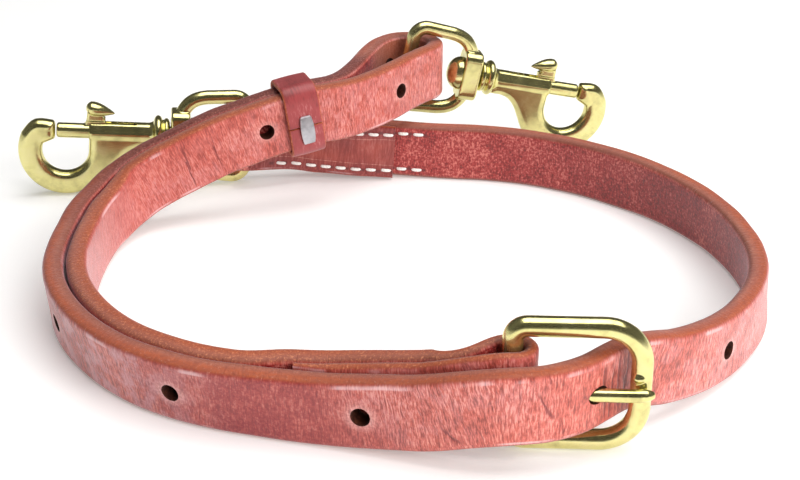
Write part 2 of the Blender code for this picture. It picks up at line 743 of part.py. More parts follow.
def thread_point(at, depth, thickness, outward, height):
    """Place a point of thread on one face of a layer whose middle lies at a depth under the outer face."""
    run = ROUTE.run
    inward = run.inward(at)
    lean = float(run.lean(at))
    climb = float(ROUTE.sewn_lift(at + DENSE_STEP) - ROUTE.sewn_lift(at)) / DENSE_STEP
    level_side = Vector((*-inward, 0))
    along = Vector((-inward[1], inward[0], climb)).normalized()
    tilted = along.cross(level_side)
    up = tilted * math.cos(lean) + level_side * math.sin(lean)
    side = level_side * math.cos(lean) - tilted * math.sin(lean)
    rise = STRAP_WIDTH / 2 * math.cos(lean) + thickness / 2 * abs(math.sin(lean))
    middle = Vector((*(run.face(at) + inward * depth), float(ROUTE.sewn_lift(at)))) + tilted * rise
    proud = thickness / 2 + SEAT_GAP + STITCH_THREAD / 2
    return middle + side * outward * proud + up * height


def snap_outer_layer(reach):
    thickness = float(ROUTE.outer_thickness(reach))
    return thickness / 2, thickness


def snap_inner_layer(reach):
    """Give the sewn return's middle depth and thickness, and those of the strap itself past its tip."""
    if reach > SNAP_RETURN + STEP_CLEAR:
        return snap_outer_layer(reach)
    thickness = float(ROUTE.return_thickness(min(reach, SNAP_RETURN), SNAP_RETURN))
    return float(ROUTE.snap_return_face(np.array(reach))) + thickness / 2, thickness


def buckle_outer_layer(reach):
    thickness = float(ROUTE.return_thickness(reach, BUCKLE_RETURN))
    return STRAP_THICKNESS + STITCH_GAP + thickness / 2, thickness


def buckle_inner_layer(reach):
    at = np.array(reach + ROUTE.run.bar)
    thickness = float(ROUTE.inner_thickness(at))
    return float(ROUTE.inner_face(at)) + thickness / 2, thickness


def make_thread(name, bar, start, stitches, layer, outward, height):
    """Lay one row of stitches as an unbroken thread that thins where it dips between them."""
    points = []
    radii = []
    for number in range(2 * stitches + 1):
        reach = start + number * STITCH_PITCH / 2
        crossing = reach - SNAP_RETURN - STEP_CLEAR
        if layer is snap_inner_layer and 0 < crossing < STITCH_PITCH / 2:
            edge = SNAP_RETURN + STEP_CLEAR
            points.append(thread_point(np.array(edge), *layer(edge), outward, height))
            radii.append(THREAD_DIP)
        if layer is snap_inner_layer and 0 < crossing < STEP_CLEAR:
            continue
        points.append(thread_point(np.array(bar + reach), *layer(reach), outward, height))
        radii.append(1.0 if number % 2 else THREAD_DIP)
    data = tube_mesh(points, STITCH_THREAD, False, 1, radii)
    data.shade_smooth()
    add_object(name, data, THREAD)


def make_stitching():
    bar = ROUTE.run.bar
    start = STITCH_START
    later = STITCH_START + STITCH_PITCH
    for level, sign in (("upper", 1), ("lower", -1)):
        height = sign * (STRAP_WIDTH / 2 - STITCH_EDGE)
        snap_end = "snap_end_thread_"
        make_thread(snap_end + "outer_" + level, 0, start, SNAP_STITCHES, snap_outer_layer, 1, height)
        make_thread(snap_end + "inner_" + level, 0, start, SNAP_STITCHES, snap_inner_layer, -1, height)
        buckle_end = "buckle_end_thread_"
        make_thread(buckle_end + "outer_" + level, bar, later, BUCKLE_STITCHES, buckle_outer_layer, 1, height)
        make_thread(buckle_end + "inner_" + level, bar, later, BUCKLE_STITCHES, buckle_inner_layer, -1, height)


# Swivel bolt snaps, built along X from the bar of the eye with the hook below

HUB_END = EYE_LENGTH - RUNNING_GAP
HUB_START = HUB_END - HUB_LENGTH
BARREL_END = EYE_LENGTH + BARREL_LENGTH
THROAT_CENTRE = (BARREL_END + THROAT_RADIUS, -THROAT_DROP)
HOOK_TIP = THROAT_CENTRE[0] + HOOK_TIP_AHEAD
BOLT_TIP = HOOK_TIP - HOOK_TIP_GAP
BOLT_REAR = BOLT_TIP - BOLT_LENGTH
EYE_HALF = EYE_OPENING / 2 + EYE_WIRE
FACE_ON = (math.pi / 2, 0, 0)
ALONG_X = (0, math.pi / 2, 0)
ACROSS_X = (math.pi / 2, 0, math.pi / 2)


def make_eye(side, place):
    half = (EYE_OPENING + EYE_WIRE) / 2
    corner = EYE_WIRE * 0.9
    neck = HUB_HEIGHT / 2 - EYE_WIRE / 2
    hub_middle = (HUB_START + HUB_END) / 2
    waist = half - EYE_TAPER
    shoulder = [(EYE_SHOULDER + (hub_middle - EYE_SHOULDER) * along, waist - (waist - neck) * down)
                for along, down in ((0, 0), (0.35, 0.10), (0.62, 0.28), (0.80, 0.52), (0.93, 0.80), (1, 1))]
    outline = arc((corner, half - corner), corner, 180, 90, 4) + shoulder
    outline += [(x, -z) for x, z in reversed(outline)]
    wire = tube_mesh([(x, 0, z) for x, z in outline], EYE_WIRE, True)
    smooth(wire)
    eye = add_object(side + "_swivel_eye", wire, POLISHED_BRASS, place)
    block = plate_mesh((rounded_rectangle(HUB_WIDTH, HUB_HEIGHT, HUB_WIDTH * 0.3),), HUB_LENGTH)
    boolean(eye, "UNION", add_object(side + "_hub_block", block, parent=place, rotation=ACROSS_X,
                                     location=(hub_middle, 0, 0)))
    bore = rods_mesh([((HUB_START - HUB_LENGTH, 0, 0), (HUB_END + HUB_LENGTH, 0, 0),
                       RIVET_SHANK / 2 + RUNNING_GAP)], 16)
    boolean(eye, "DIFFERENCE", add_object(side + "_hub_bore", bore, parent=place))


def make_rivet(side, place):
    under = HUB_START - RUNNING_GAP
    radius = RIVET_HEAD / 2
    shank = RIVET_SHANK / 2
    dome = [(radius * math.cos(a), under - RIVET_HEAD_HEIGHT * math.sin(a))
            for a in np.radians((0, 30, 60))]
    profile = [(0, EYE_LENGTH + RIVET_SEAT), (shank, EYE_LENGTH + RIVET_SEAT), (shank, under)]
    profile += dome + [(0, under - RIVET_HEAD_HEIGHT)]
    data = turned_mesh(profile, 16)
    smooth(data)
    add_object(side + "_swivel_rivet", data, POLISHED_BRASS, place, ALONG_X)


def hook_outline():
    """Draw the web under the barrel and the hook round its throat, seen from the side."""
    buried = BARREL_DIAMETER / 8
    rib_start = EYE_LENGTH + COLLAR_LENGTH
    rib_low = -BARREL_DIAMETER / 2 - RIB_DROP
    outer = arc(THROAT_CENTRE, HOOK_RADIUS, -125, 22, 14)
    foot = (THROAT_CENTRE[0] - 0.90 * HOOK_RADIUS, THROAT_CENTRE[1] - 0.62 * HOOK_RADIUS)
    web = [(rib_start, buried), (rib_start, rib_low), (rib_start + RIB_LENGTH, rib_low), foot]
    crest = (HOOK_TIP + 0.62 * (outer[-1][0] - HOOK_TIP), HOOK_TIP_HALF)
    tip = [crest, (HOOK_TIP, HOOK_TIP_HALF), (HOOK_TIP, -HOOK_TIP_HALF)]
    throat = arc(THROAT_CENTRE, THROAT_RADIUS, 22, -180, 15)
    return web + outer + tip + throat + [(BARREL_END, buried)]


def make_body(side, place):
    barrel = BARREL_DIAMETER / 2
    collar = COLLAR_DIAMETER / 2
    groove = barrel + 0.35 * (collar - barrel)
    rows = ((0, BARREL_END), (barrel - EDGE_BREAK, BARREL_END), (barrel, BARREL_END - EDGE_BREAK),
            (barrel, EYE_LENGTH + 1.45 * COLLAR_LENGTH), (collar * 0.88, EYE_LENGTH + COLLAR_LENGTH),
            (collar, EYE_LENGTH + 0.82 * COLLAR_LENGTH), (collar, EYE_LENGTH + 0.62 * COLLAR_LENGTH),
            (groove, EYE_LENGTH + 0.50 * COLLAR_LENGTH), (collar * 0.92, EYE_LENGTH + 0.36 * COLLAR_LENGTH),
            (collar * 0.92, EYE_LENGTH + 0.14 * COLLAR_LENGTH), (groove, EYE_LENGTH), (0, EYE_LENGTH))
    shell = turned_mesh(rows, 16)
    smooth(shell)
    body = add_object(side + "_snap_body", shell, POLISHED_BRASS, place, ALONG_X)
    plate = plate_mesh((hook_outline(),), PLATE_THICKNESS, PLATE_ROUNDING)
    boolean(body, "UNION", add_object(side + "_hook_plate", plate, parent=place, rotation=FACE_ON))
    front = HOOK_TIP - HOOK_TIP_GAP
    bore = ((EYE_LENGTH + BORE_START, 0, 0), (front, 0, 0), BOLT_DIAMETER / 2 + SEAT_GAP)
    socket = ((HUB_START, 0, 0), (EYE_LENGTH + RIVET_SEAT + SEAT_GAP, 0, 0), RIVET_SHANK / 2 + SEAT_GAP)
    boolean(body, "DIFFERENCE", add_object(side + "_bores", rods_mesh([bore, socket], 16), parent=place))
    wide = KNOB_STEM / 2 + SLOT_PLAY
    slot = box_mesh((EYE_LENGTH + SLOT_REAR, -wide, 0), (front, wide, COLLAR_DIAMETER))
    boolean(body, "DIFFERENCE", add_object(side + "_knob_slot", slot, parent=place))


def make_bolt(side, place):
    radius = BOLT_DIAMETER / 2
    rows = ((0, BOLT_TIP), (radius - EDGE_BREAK, BOLT_TIP), (radius, BOLT_TIP - EDGE_BREAK),
            (radius, BOLT_REAR), (0, BOLT_REAR))
    rod = turned_mesh(rows, 16)
    smooth(rod)
    bolt = add_object(side + "_snap_bolt", rod, POLISHED_BRASS, place, ALONG_X)
    over = BARREL_DIAMETER / 2 + SEAT_GAP
    front = BARREL_END + KNOB_AHEAD
    rear = front - STEM_LENGTH
    waist = over + 0.55 * KNOB_LIP
    toe = front + 0.4 * STEM_LENGTH
    stem = ((rear, 0), (toe, 0), (toe, 0.7 * radius), (front, waist), (rear, waist))
    stem_plate = plate_mesh((stem,), KNOB_STEM)
    boolean(bolt, "UNION", add_object(side + "_knob_stem", stem_plate, parent=place, rotation=FACE_ON))
    lip = over + KNOB_LIP
    top = over + KNOB_TOP
    cap = ((front, over), (front, lip + 0.55 * (top - lip)),
           (front - 0.14 * KNOB_LENGTH, top), (front - 0.34 * KNOB_LENGTH, top),
           (front - 0.90 * KNOB_LENGTH, lip + 0.36 * (top - lip)), (front - KNOB_LENGTH, lip),
           (rear - 0.06 * KNOB_LENGTH, lip), (rear, over))
    cap_plate = plate_mesh((cap,), KNOB_WIDTH, KNOB_ROUNDING)
    boolean(bolt, "UNION", add_object(side + "_knob_cap", cap_plate, parent=place, rotation=FACE_ON))


def make_spring(side, place):
    start = EYE_LENGTH + BORE_START + SEAT_GAP + SPRING_WIRE / 2
    end = BOLT_REAR - SEAT_GAP - SPRING_WIRE / 2
    radius = BOLT_DIAMETER / 2 - SPRING_WIRE / 2
    count = SPRING_TURNS * 8
    points = []
    for i in range(count + 1):
        angle = 2 * math.pi * i / 8
        points.append((start + (end - start) * i / count, radius * math.cos(angle), radius * math.sin(angle)))
    wire = tube_mesh(points, SPRING_WIRE, False, 1)
    wire.shade_smooth()
    add_object(side + "_bolt_spring", wire, SPRING_METAL, place)
    gaps = [math.dist(points[i], points[k]) for i in range(count + 1) for k in range(i + 5, count + 1)]
    print(side, "spring least gap to itself", round(min(gaps) - SPRING_WIRE, 5))


def make_snap(side, origin, yaw, pitch):
    along = (math.cos(yaw) * math.cos(pitch), math.sin(yaw) * math.cos(pitch), math.sin(pitch))
    place = add_frame(side + "_snap_pivot", origin, along, (0, 0, 1))
    make_eye(side, place)
    make_rivet(side, place)
    make_body(side, place)
    make_bolt(side, place)
    make_spring(side, place)


def make_snaps():
    rise = math.atan2(HOOK_RADIUS + THROAT_DROP - EYE_HALF, THROAT_CENTRE[0])
    make_snap("left", (*ROUTE.snap_bar, EYE_HALF), LEFT_SNAP_YAW, rise)
    top = LOOP_LIFT + STRAP_WIDTH + SEAT_GAP
    fall = 0.0
    for step in range(30):
        bar = top - EYE_OPENING / 2 * math.cos(fall) + (LOOP_RADIUS + STRAP_THICKNESS / 2) * math.sin(fall)
        fall = math.asin((bar - THROAT_DROP * math.cos(fall) - HOOK_RADIUS - SEAT_GAP) / THROAT_CENTRE[0])
    make_snap("right", (*ROUTE.loop_centre, bar), RIGHT_SNAP_YAW, -fall)


make_strap()
make_buckle()
make_keeper()
make_stitching()
make_snaps()
bpy.context.view_layer.update()
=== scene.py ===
"""Dresses the tie-down martingale: strap, stitching, keeper, buckle and bolt snaps, on a plain stage."""

import json
import math

import bmesh
import bpy
import numpy as np
from mathutils import Matrix, Vector


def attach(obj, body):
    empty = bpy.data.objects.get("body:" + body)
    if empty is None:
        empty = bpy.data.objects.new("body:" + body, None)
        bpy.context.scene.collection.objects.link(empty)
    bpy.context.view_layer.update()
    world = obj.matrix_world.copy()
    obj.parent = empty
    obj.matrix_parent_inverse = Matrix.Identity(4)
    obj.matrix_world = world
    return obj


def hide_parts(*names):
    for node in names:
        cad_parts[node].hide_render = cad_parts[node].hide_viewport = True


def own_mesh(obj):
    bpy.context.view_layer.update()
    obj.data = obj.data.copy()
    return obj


bl_info = {
    "name": "Tie-down martingale",
    "version": (1, 0, 0),
    "blender": (4, 5, 0),
    "location": "3D View > Sidebar > Martingale",
    "description": "Builds the leather, thread and brass of a tie-down martingale over its packed solids",
    "category": "Object",
}

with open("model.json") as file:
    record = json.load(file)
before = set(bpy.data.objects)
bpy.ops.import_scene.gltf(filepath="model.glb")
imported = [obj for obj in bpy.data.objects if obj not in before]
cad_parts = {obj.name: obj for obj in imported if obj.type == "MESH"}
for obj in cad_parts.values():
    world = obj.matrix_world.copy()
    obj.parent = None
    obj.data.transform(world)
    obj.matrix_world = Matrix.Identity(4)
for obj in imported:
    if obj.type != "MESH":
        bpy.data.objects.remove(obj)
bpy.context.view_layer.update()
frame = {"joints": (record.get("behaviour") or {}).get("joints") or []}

# Strap, its layers and the gaps between them, as in the solids
WIDTH = 0.01905
THICKNESS = 0.0058
FOLD_THICKNESS = 0.0034
SKIVE_TIP = 0.0016
SKIVE_LENGTH = 0.016
SKIVE_REACH = 0.025
SEAT_GAP = 0.0003
LAYER_GAP = 0.0007
STITCH_GAP = 0.0017
EYE_BAR_PLAY = 0.0011
FLARE_LENGTH = 0.020
SNAP_RETURN = 0.0515
BUCKLE_RETURN = 0.058
STITCH_START = 0.0085
SNAP_STITCHES = 10
BUCKLE_STITCHES = 8
RIDE_LENGTH = 0.050

# Buckle and snaps, measured as in the solids
BUCKLE_WIRE = 0.0052
BUCKLE_OPENING = 0.0256
BUCKLE_LENGTH = 0.0310
BUCKLE_CORNER = 0.0095
BUCKLE_HEEL_CORNER = 0.0034
BUCKLE_YAW = math.radians(-2.5)
SEWN_RISE = 0.0040
BUCKLE_MIDDLE = BUCKLE_WIRE + BUCKLE_OPENING / 2
TONGUE_DIAMETER = 0.0034
TONGUE_LOOP_WALL = 0.0024
TONGUE_HEIGHT = TONGUE_DIAMETER + 0.0010
TONGUE_PLAY = 0.0006
TONGUE_SIDE = -(BUCKLE_WIRE / 2 + SEAT_GAP + TONGUE_DIAMETER / 2)
EYE_WIRE = 0.0048
EYE_OPENING = 0.0236
EYE_LENGTH = 0.0258
EYE_SHOULDER = 0.0136
EYE_TAPER = 0.0006
EYE_HALF = EYE_OPENING / 2 + EYE_WIRE
HUB_LENGTH = 0.0064
HUB_HEIGHT = 0.0174
HUB_WIDTH = 0.0104
HUB_END = EYE_LENGTH - SEAT_GAP
HUB_START = HUB_END - HUB_LENGTH
RIVET_SHANK = 0.0050
RIVET_HEAD = 0.0116
RIVET_HEAD_HEIGHT = 0.0044
RIVET_SEAT = 0.0030
COLLAR_DIAMETER = 0.0124
COLLAR_LENGTH = 0.0050
BARREL_DIAMETER = 0.0071
BARREL_END = EYE_LENGTH + 0.0268
BOLT_DIAMETER = 0.0051
BOLT_LENGTH = 0.0180
BORE_START = 0.0046
SPRING_WIRE = 0.0005
SPRING_TURNS = 7
STEM_LENGTH = 0.0062
THROAT_RADIUS = 0.0076
THROAT_DROP = 0.0070
THROAT_CENTRE = (BARREL_END + THROAT_RADIUS, -THROAT_DROP)
HOOK_RADIUS = 0.0156
HOOK_TIP_HALF = 0.0033
HOOK_TIP = THROAT_CENTRE[0] + 0.0034
BOLT_TIP = HOOK_TIP - 0.0004
BOLT_REAR = BOLT_TIP - BOLT_LENGTH
SPRING_START = EYE_LENGTH + BORE_START + SEAT_GAP
SPRING_LENGTH = BOLT_REAR - SEAT_GAP - SPRING_START
RIB_DROP = 0.0018
RIB_LENGTH = 0.0060
PLATE_THICKNESS = 0.0060
KNOB_WIDTH = 0.0058
KNOB_STEM = 0.0026
KNOB_LENGTH = 0.0098
KNOB_AHEAD = 0.0008
KNOB_TOP = 0.0070
KNOB_LIP = 0.0022
EDGE_BREAK = 0.0005
SLOT_PLAY = 0.0004
SLOT_REAR = 0.0110

# Keeper and its staple
KEEPER_LENGTH = 0.0115
KEEPER_THICKNESS = 0.0018
KEEPER_PLAY = 0.0007
KEEPER_SEAM = 0.0005
KEEPER_FROM_END = 0.0082
SEAM_DROP = 0.0012
STAPLE_WIDTH = 0.0046
STAPLE_HEIGHT = 0.0098
STAPLE_THICKNESS = 0.0007
STAPLE_DROP = 0.0022

# Roundings and small shapes as they look, which the solids have more simply or not at all
STRAP_HOLLOW = 0.00008
STRAP_ROUGHNESS = 0.00008
HOLE_FLARE = 0.16
NIB_RADIUS = 0.0014
NIB_REACH = 0.0018
HUB_ROUNDING = 0.0007
BARREL_START = EYE_LENGTH + 1.35 * COLLAR_LENGTH
BARREL_FLAT_START = EYE_LENGTH + 1.30 * COLLAR_LENGTH
BARREL_FLAT_TURN = math.radians(60)
BARREL_FLAT_SHARE = 0.90
SPRING_TURN_STEPS = 24
HOOK_ROUNDING = 0.0026
HOOK_TIP_ROUNDING = 0.0012
KNOB_DROP_HALF = 0.0023
KNOB_STEM_ROUNDING = 0.0003
KNOB_NECK_ROUNDING = 0.0006
KEEPER_CORNER = 0.0038
KEEPER_ROUNDING = 0.0008
KEEPER_CROWN = 0.00012
KEEPER_ROUGHNESS = 0.00005
STAPLE_BOW = 0.00045
STAPLE_ROUNDING = 0.00022

# Heights of the strap's lower edge over the hardware and over its own sewn end, and the tongue's drop
SNAP_LIFT = EYE_WIRE + SEAT_GAP + 0.0010
BUCKLE_LIFT = BUCKLE_WIRE + SEAT_GAP + SEWN_RISE
STRAP_RIDE = BUCKLE_WIRE + BUCKLE_OPENING - WIDTH - 0.0034
CROSSING_LIFT = WIDTH + 0.50 * SNAP_LIFT + 0.0005
LOOP_LIFT = CROSSING_LIFT + 0.0026
TONGUE_DROP = 0.98 * STRAP_RIDE + WIDTH / 2 - BUCKLE_MIDDLE

# Loose loop that holds the right snap, and the directions of the snaps
LOOP_RADIUS = 0.0094
LOOP_CENTRE = (0.0027, 0.1054)
LOOP_FAR_HEADING = math.radians(22)
LOOP_NEAR_HEADING = math.radians(47)
LEFT_SNAP_YAW = math.radians(189)
RIGHT_SNAP_YAW = math.radians(10)
FOOTPRINT_CENTRE = (-0.011004, 0.012151)

# Outer face of the strap from the left snap to the keeper: x, y, lift of the lower edge, outward lean
OUTER_RUN = (
    (-0.0536, 0.0920, SNAP_LIFT, 0),
    (-0.0280, 0.0943, 0.50 * SNAP_LIFT, 0),
    (0.0000, 0.0938, 0.10 * SNAP_LIFT, 0),
    (0.0180, 0.0922, 0, 0),
    (0.0370, 0.0890, 0, 0),
    (0.0690, 0.0720, 0, -1),
    (0.0925, 0.0445, 0, -6),
    (0.1045, 0.0080, 0, -8),
    (0.1030, -0.0210, 0, -4),
    (0.0895, -0.0485, 0.08 * STRAP_RIDE, 0),
    (0.0680, -0.0705, 0.52 * STRAP_RIDE, 0),
    (0.0550, -0.0803, 0.94 * STRAP_RIDE, 0),
    (0.0445, -0.0903, 0.98 * STRAP_RIDE, 0),
    (0.0275, -0.0963, STRAP_RIDE, 0),
    (0.0020, -0.0908, 0.36 * STRAP_RIDE, 1),
    (-0.0255, -0.0829, 0, 5),
    (-0.0492, -0.0767, 0, 10),
    (-0.0710, -0.0645, 0, 11),
    (-0.0875, -0.0460, 0, 9),
    (-0.0988, -0.0210, 0, 4),
    (-0.1015, 0.0060, 0, 1),
    (-0.0985, 0.0330, 0.05 * CROSSING_LIFT, 0),
    (-0.0880, 0.0510, 0.20 * CROSSING_LIFT, 0),
    (-0.0730, 0.0590, 0.45 * CROSSING_LIFT, 0),
    (-0.0550, 0.0655, 0.75 * CROSSING_LIFT, 0),
    (-0.0260, 0.0760, CROSSING_LIFT, 0),
)
BAR_POINT = 13
DENSE_STEP = 0.0010
HOLE_SPACING = 0.0500
FIRST_HOLE = 0.0545
HOLE_NUMBERS = (-1, 1, 2, 3, 4, 5, 6, 7, 8, 9)

# Way round a strip's section: share of a face, a corner and an edge, places of the stitches, whole length
FACE_SHARE = 0.38
CORNER_SHARE = 0.04
EDGE_SHARE = 0.04
STITCH_SHARES = (0.0335, 0.345)
AROUND_METRES = 0.050

# Tones of the leather beside the colours that a user would change
CREASE_SHADE_AND_GRAIN_DASH = (0.17, 0.020, 0.022)
PALE_GRAIN = (0.88, 0.37, 0.29)
SCUFF_TONE = (0.86, 0.55, 0.55)
LILAC_SHEEN_AND_WEAR = (0.66, 0.38, 0.42)
CRIMSON_STAIN_AND_SHADE = (0.24, 0.020, 0.026)
BACK_SHADE = (0.17, 0.045, 0.026)
HOLE_RING = (0.86, 0.50, 0.46)
INNER_RUN_TONE = (0.40, 0.060, 0.044)
BURNISHED_AND_HIGHLIGHT_TONE = (0.35, 0.052, 0.029)
PALE_FLESH = (0.74, 0.25, 0.20)
LOOP_FLESH = (0.36, 0.125, 0.070)
FLESH_SPECK = (0.82, 0.40, 0.32)
LEFT_OUTER_EDGE_TONE = (0.115, 0.016, 0.014)
LEFT_OUTER_FIBRE = (0.55, 0.22, 0.17)
INNER_EDGE = (0.30, 0.062, 0.026)
INNER_FIBRE = (0.70, 0.25, 0.11)
RIM_HIGHLIGHT = (0.93, 0.70, 0.72)
SCORE_TONE = (0.80, 0.42, 0.34)
STITCH_PIT_SHADOW = (0.10, 0.012, 0.014)

# Camera at the photograph's angle, and the floor under the object
CAMERA_PLACE = (0.011004, -0.404151, 0.200)
CAMERA_TILT = math.radians(65)
FLOOR_DROP = 0.0002


# Settings that a user would change

class LeatherLook(bpy.types.PropertyGroup):
    """Sizes and colours of the strap and the keeper"""

    edge_rounding: bpy.props.FloatProperty(
        name="Edge rounding", description="Radius of the strap's burnished edges",
        default=0.0016, min=0.0002, subtype="DISTANCE", unit="LENGTH")
    hole_diameter: bpy.props.FloatProperty(
        name="Hole diameter", description="Diameter of the adjusting holes",
        default=0.0047, min=0.001, subtype="DISTANCE", unit="LENGTH")
    grain: bpy.props.FloatVectorProperty(
        name="Grain side", description="Colour of the smooth outer side",
        default=(0.57, 0.110, 0.080), size=3, min=0, max=1, subtype="COLOR")
    flesh: bpy.props.FloatVectorProperty(
        name="Flesh side", description="Colour of the rougher inner side",
        default=(0.34, 0.030, 0.028), size=3, min=0, max=1, subtype="COLOR")
    cut_edge: bpy.props.FloatVectorProperty(
        name="Cut edge", description="Colour of the cut edges",
        default=(0.50, 0.112, 0.038), size=3, min=0, max=1, subtype="COLOR")
    keeper: bpy.props.FloatVectorProperty(
        name="Keeper", description="Colour of the keeper's outer side",
        default=(0.34, 0.056, 0.058), size=3, min=0, max=1, subtype="COLOR")


class ThreadLook(bpy.types.PropertyGroup):
    """Sizes and colour of the stitches"""

    pitch: bpy.props.FloatProperty(
        name="Pitch", description="Distance from one stitch to the next",
        default=0.0054, min=0.002, subtype="DISTANCE", unit="LENGTH")
    length: bpy.props.FloatProperty(
        name="Stitch length", description="Length of thread that shows in one stitch",
        default=0.0037, min=0.001, subtype="DISTANCE", unit="LENGTH")
    diameter: bpy.props.FloatProperty(
        name="Thread diameter", description="Diameter of the waxed thread",
        default=0.0011, min=0.0003, subtype="DISTANCE", unit="LENGTH")
    from_edge: bpy.props.FloatProperty(
        name="Distance from edge", description="Distance of a row from the edge of the strap",
        default=0.0030, min=0.001, subtype="DISTANCE", unit="LENGTH")
    colour: bpy.props.FloatVectorProperty(
        name="Thread", description="Colour of the thread",
        default=(0.93, 0.91, 0.87), size=3, min=0, max=1, subtype="COLOR")


class BrassLook(bpy.types.PropertyGroup):
    """Colour, polish and detail of the brass"""

    colour: bpy.props.FloatVectorProperty(
        name="Brass", description="Colour of the polished brass",
        default=(0.76, 0.70, 0.30), size=3, min=0, max=1, subtype="COLOR")
    roughness: bpy.props.FloatProperty(
        name="Roughness", description="Roughness of the polished brass",
        default=0.16, min=0.02, max=1, subtype="FACTOR")
    casting_detail: bpy.props.FloatProperty(
        name="Casting detail", description="Smallest detail kept when the cast pieces are softened",
        default=0.00026, min=0.0001, subtype="DISTANCE", unit="LENGTH")


class StageLook(bpy.types.PropertyGroup):
    """Floor, light and lens of the studio"""

    floor: bpy.props.FloatVectorProperty(
        name="Floor", description="Colour of the floor",
        default=(0.90, 0.90, 0.90), size=3, min=0, max=1, subtype="COLOR")
    light: bpy.props.FloatProperty(
        name="Light", description="Strength of the studio light",
        default=1.0, min=0, soft_max=4, subtype="FACTOR")
    lens: bpy.props.FloatProperty(
        name="Lens", description="Focal length of the camera in millimetres", default=67.0, min=10)


# Placing and shaping

def place_matrix(origin, along, up):
    """Give the frame whose X axis runs along the first direction and whose Z axis leans to the second."""
    x_axis = Vector(along).normalized()
    y_axis = Vector(up).cross(x_axis).normalized()
    z_axis = x_axis.cross(y_axis)
    return Matrix.Translation(origin) @ Matrix((x_axis, y_axis, z_axis)).transposed().to_4x4()


def add_piece(name, data, body, replaced=(), place=None):
    """Put a finished mesh in the scene, on its body and in place of its solids."""
    if place is not None:
        data.transform(place)
    made = bpy.data.objects.new(name, data)
    bpy.context.scene.collection.objects.link(made)
    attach(made, body)
    if replaced:
        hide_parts(*replaced)
    return made


def hold(data):
    """Put a mesh or curve in the scene for as long as its modifiers are worked out."""
    holder = bpy.data.objects.new("work", data)
    bpy.context.scene.collection.objects.link(holder)
    return holder


def settled(holder):
    """Turn an object's evaluated shape into a plain mesh and drop the object."""
    bpy.context.view_layer.update()
    graph = bpy.context.evaluated_depsgraph_get()
    data = bpy.data.meshes.new_from_object(holder.evaluated_get(graph))
    bpy.data.objects.remove(holder, do_unlink=True)
    return data


def merged(data, distance=0.000002):
    """Join the points of a mesh that lie in the same place."""
    work = bmesh.new()
    work.from_mesh(data)
    bmesh.ops.remove_doubles(work, verts=work.verts, dist=distance)
    bmesh.ops.recalc_face_normals(work, faces=work.faces)
    work.to_mesh(data)
    work.free()
    return data


def mesh_of(builder):
    """Make a mesh by a function that adds its points and faces."""
    work = bmesh.new()
    builder(work)
    bmesh.ops.recalc_face_normals(work, faces=work.faces)
    data = bpy.data.meshes.new("shape")
    work.to_mesh(data)
    work.free()
    return data


def box(low, high):
    """Make a block between two corners."""
    centre = [(a + b) / 2 for a, b in zip(low, high)]
    size = [b - a for a, b in zip(low, high)]

    def build(work):
        place = Matrix.Translation(centre) @ Matrix.Diagonal((*size, 1.0))
        bmesh.ops.create_cube(work, size=1.0, matrix=place)
    return mesh_of(build)


def turned(profile, steps=48):
    """Turn a profile of (radius, distance) round the X axis."""
    def build(work):
        rings = []
        for radius, distance in profile:
            if radius < 1e-7:
                rings.append([work.verts.new((distance, 0, 0))])
                continue
            angles = [2 * math.pi * k / steps for k in range(steps)]
            ring = [(distance, radius * math.cos(a), radius * math.sin(a)) for a in angles]
            rings.append([work.verts.new(point) for point in ring])
        for first, second in zip(rings, rings[1:]):
            for k in range(steps):
                n = (k + 1) % steps
                corners = [first[k % len(first)], first[n % len(first)], second[n % len(second)],
                           second[k % len(second)]]
                work.faces.new(list(dict.fromkeys(corners)))
    return mesh_of(build)


def round_bar(radius, start, end, steps=48):
    """Make a round bar along the X axis."""
    return turned(((0, start), (radius, start), (radius, end), (0, end)), steps)


def plate(outline, thickness, rounding, turn=None):
    """Make a plate with rounded rims from an outline, standing in the XZ plane unless turned otherwise."""
    data = bpy.data.curves.new("outline", "CURVE")
    data.dimensions = "2D"
    spline = data.splines.new("POLY")
    spline.points.add(len(outline) - 1)
    for point, place in zip(spline.points, outline):
        point.co = (*place, 0, 1)
    spline.use_cyclic_u = True
    data.fill_mode = "BOTH"
    data.extrude = thickness / 2 - rounding
    data.bevel_depth = rounding
    data.bevel_resolution = 4
    data.offset = -rounding
    made = merged(settled(hold(data)))
    made.materials.clear()
    made.transform(turn or Matrix.Rotation(math.pi / 2, 4, "X"))
    return made


def arc(centre, radius, start, end, count):
    """List points of an arc between two angles in degrees."""
    angles = np.radians(np.linspace(start, end, count))
    return [(centre[0] + radius * math.cos(a), centre[1] + radius * math.sin(a)) for a in angles]


def rounded_rectangle(width, height, radius, count=10):
    """List the outline of a rectangle with round corners."""
    x = width / 2 - radius
    y = height / 2 - radius
    points = []
    for centre, start in (((x, y), 0), ((-x, y), 90), ((-x, -y), 180), ((x, -y), 270)):
        points += arc(centre, radius, start, start + 90, count)
    return points


def flowing(points, count):
    """Draw an open smooth curve through points, evenly by their number."""
    rows = np.array(points, float)
    knots = np.concatenate(([0.0], np.cumsum(np.linalg.norm(np.diff(rows, axis=0), axis=1))))
    at = np.linspace(0, knots[-1], count)
    columns = [natural_spline(knots, rows[:, k], at) for k in range(rows.shape[1])]
    return [tuple(p) for p in np.stack(columns, -1)]


def carved(holder, cuts, material_mode="INDEX"):
    """Cut shapes out of an object and give it as a plain mesh."""
    tools = [hold(cut) for cut in cuts]
    for tool in tools:
        step = holder.modifiers.new("cut", "BOOLEAN")
        step.operation = "DIFFERENCE"
        step.solver = "EXACT"
        step.material_mode = material_mode
        step.object = tool
    data = settled(holder)
    for tool in tools:
        bpy.data.objects.remove(tool, do_unlink=True)
    return data


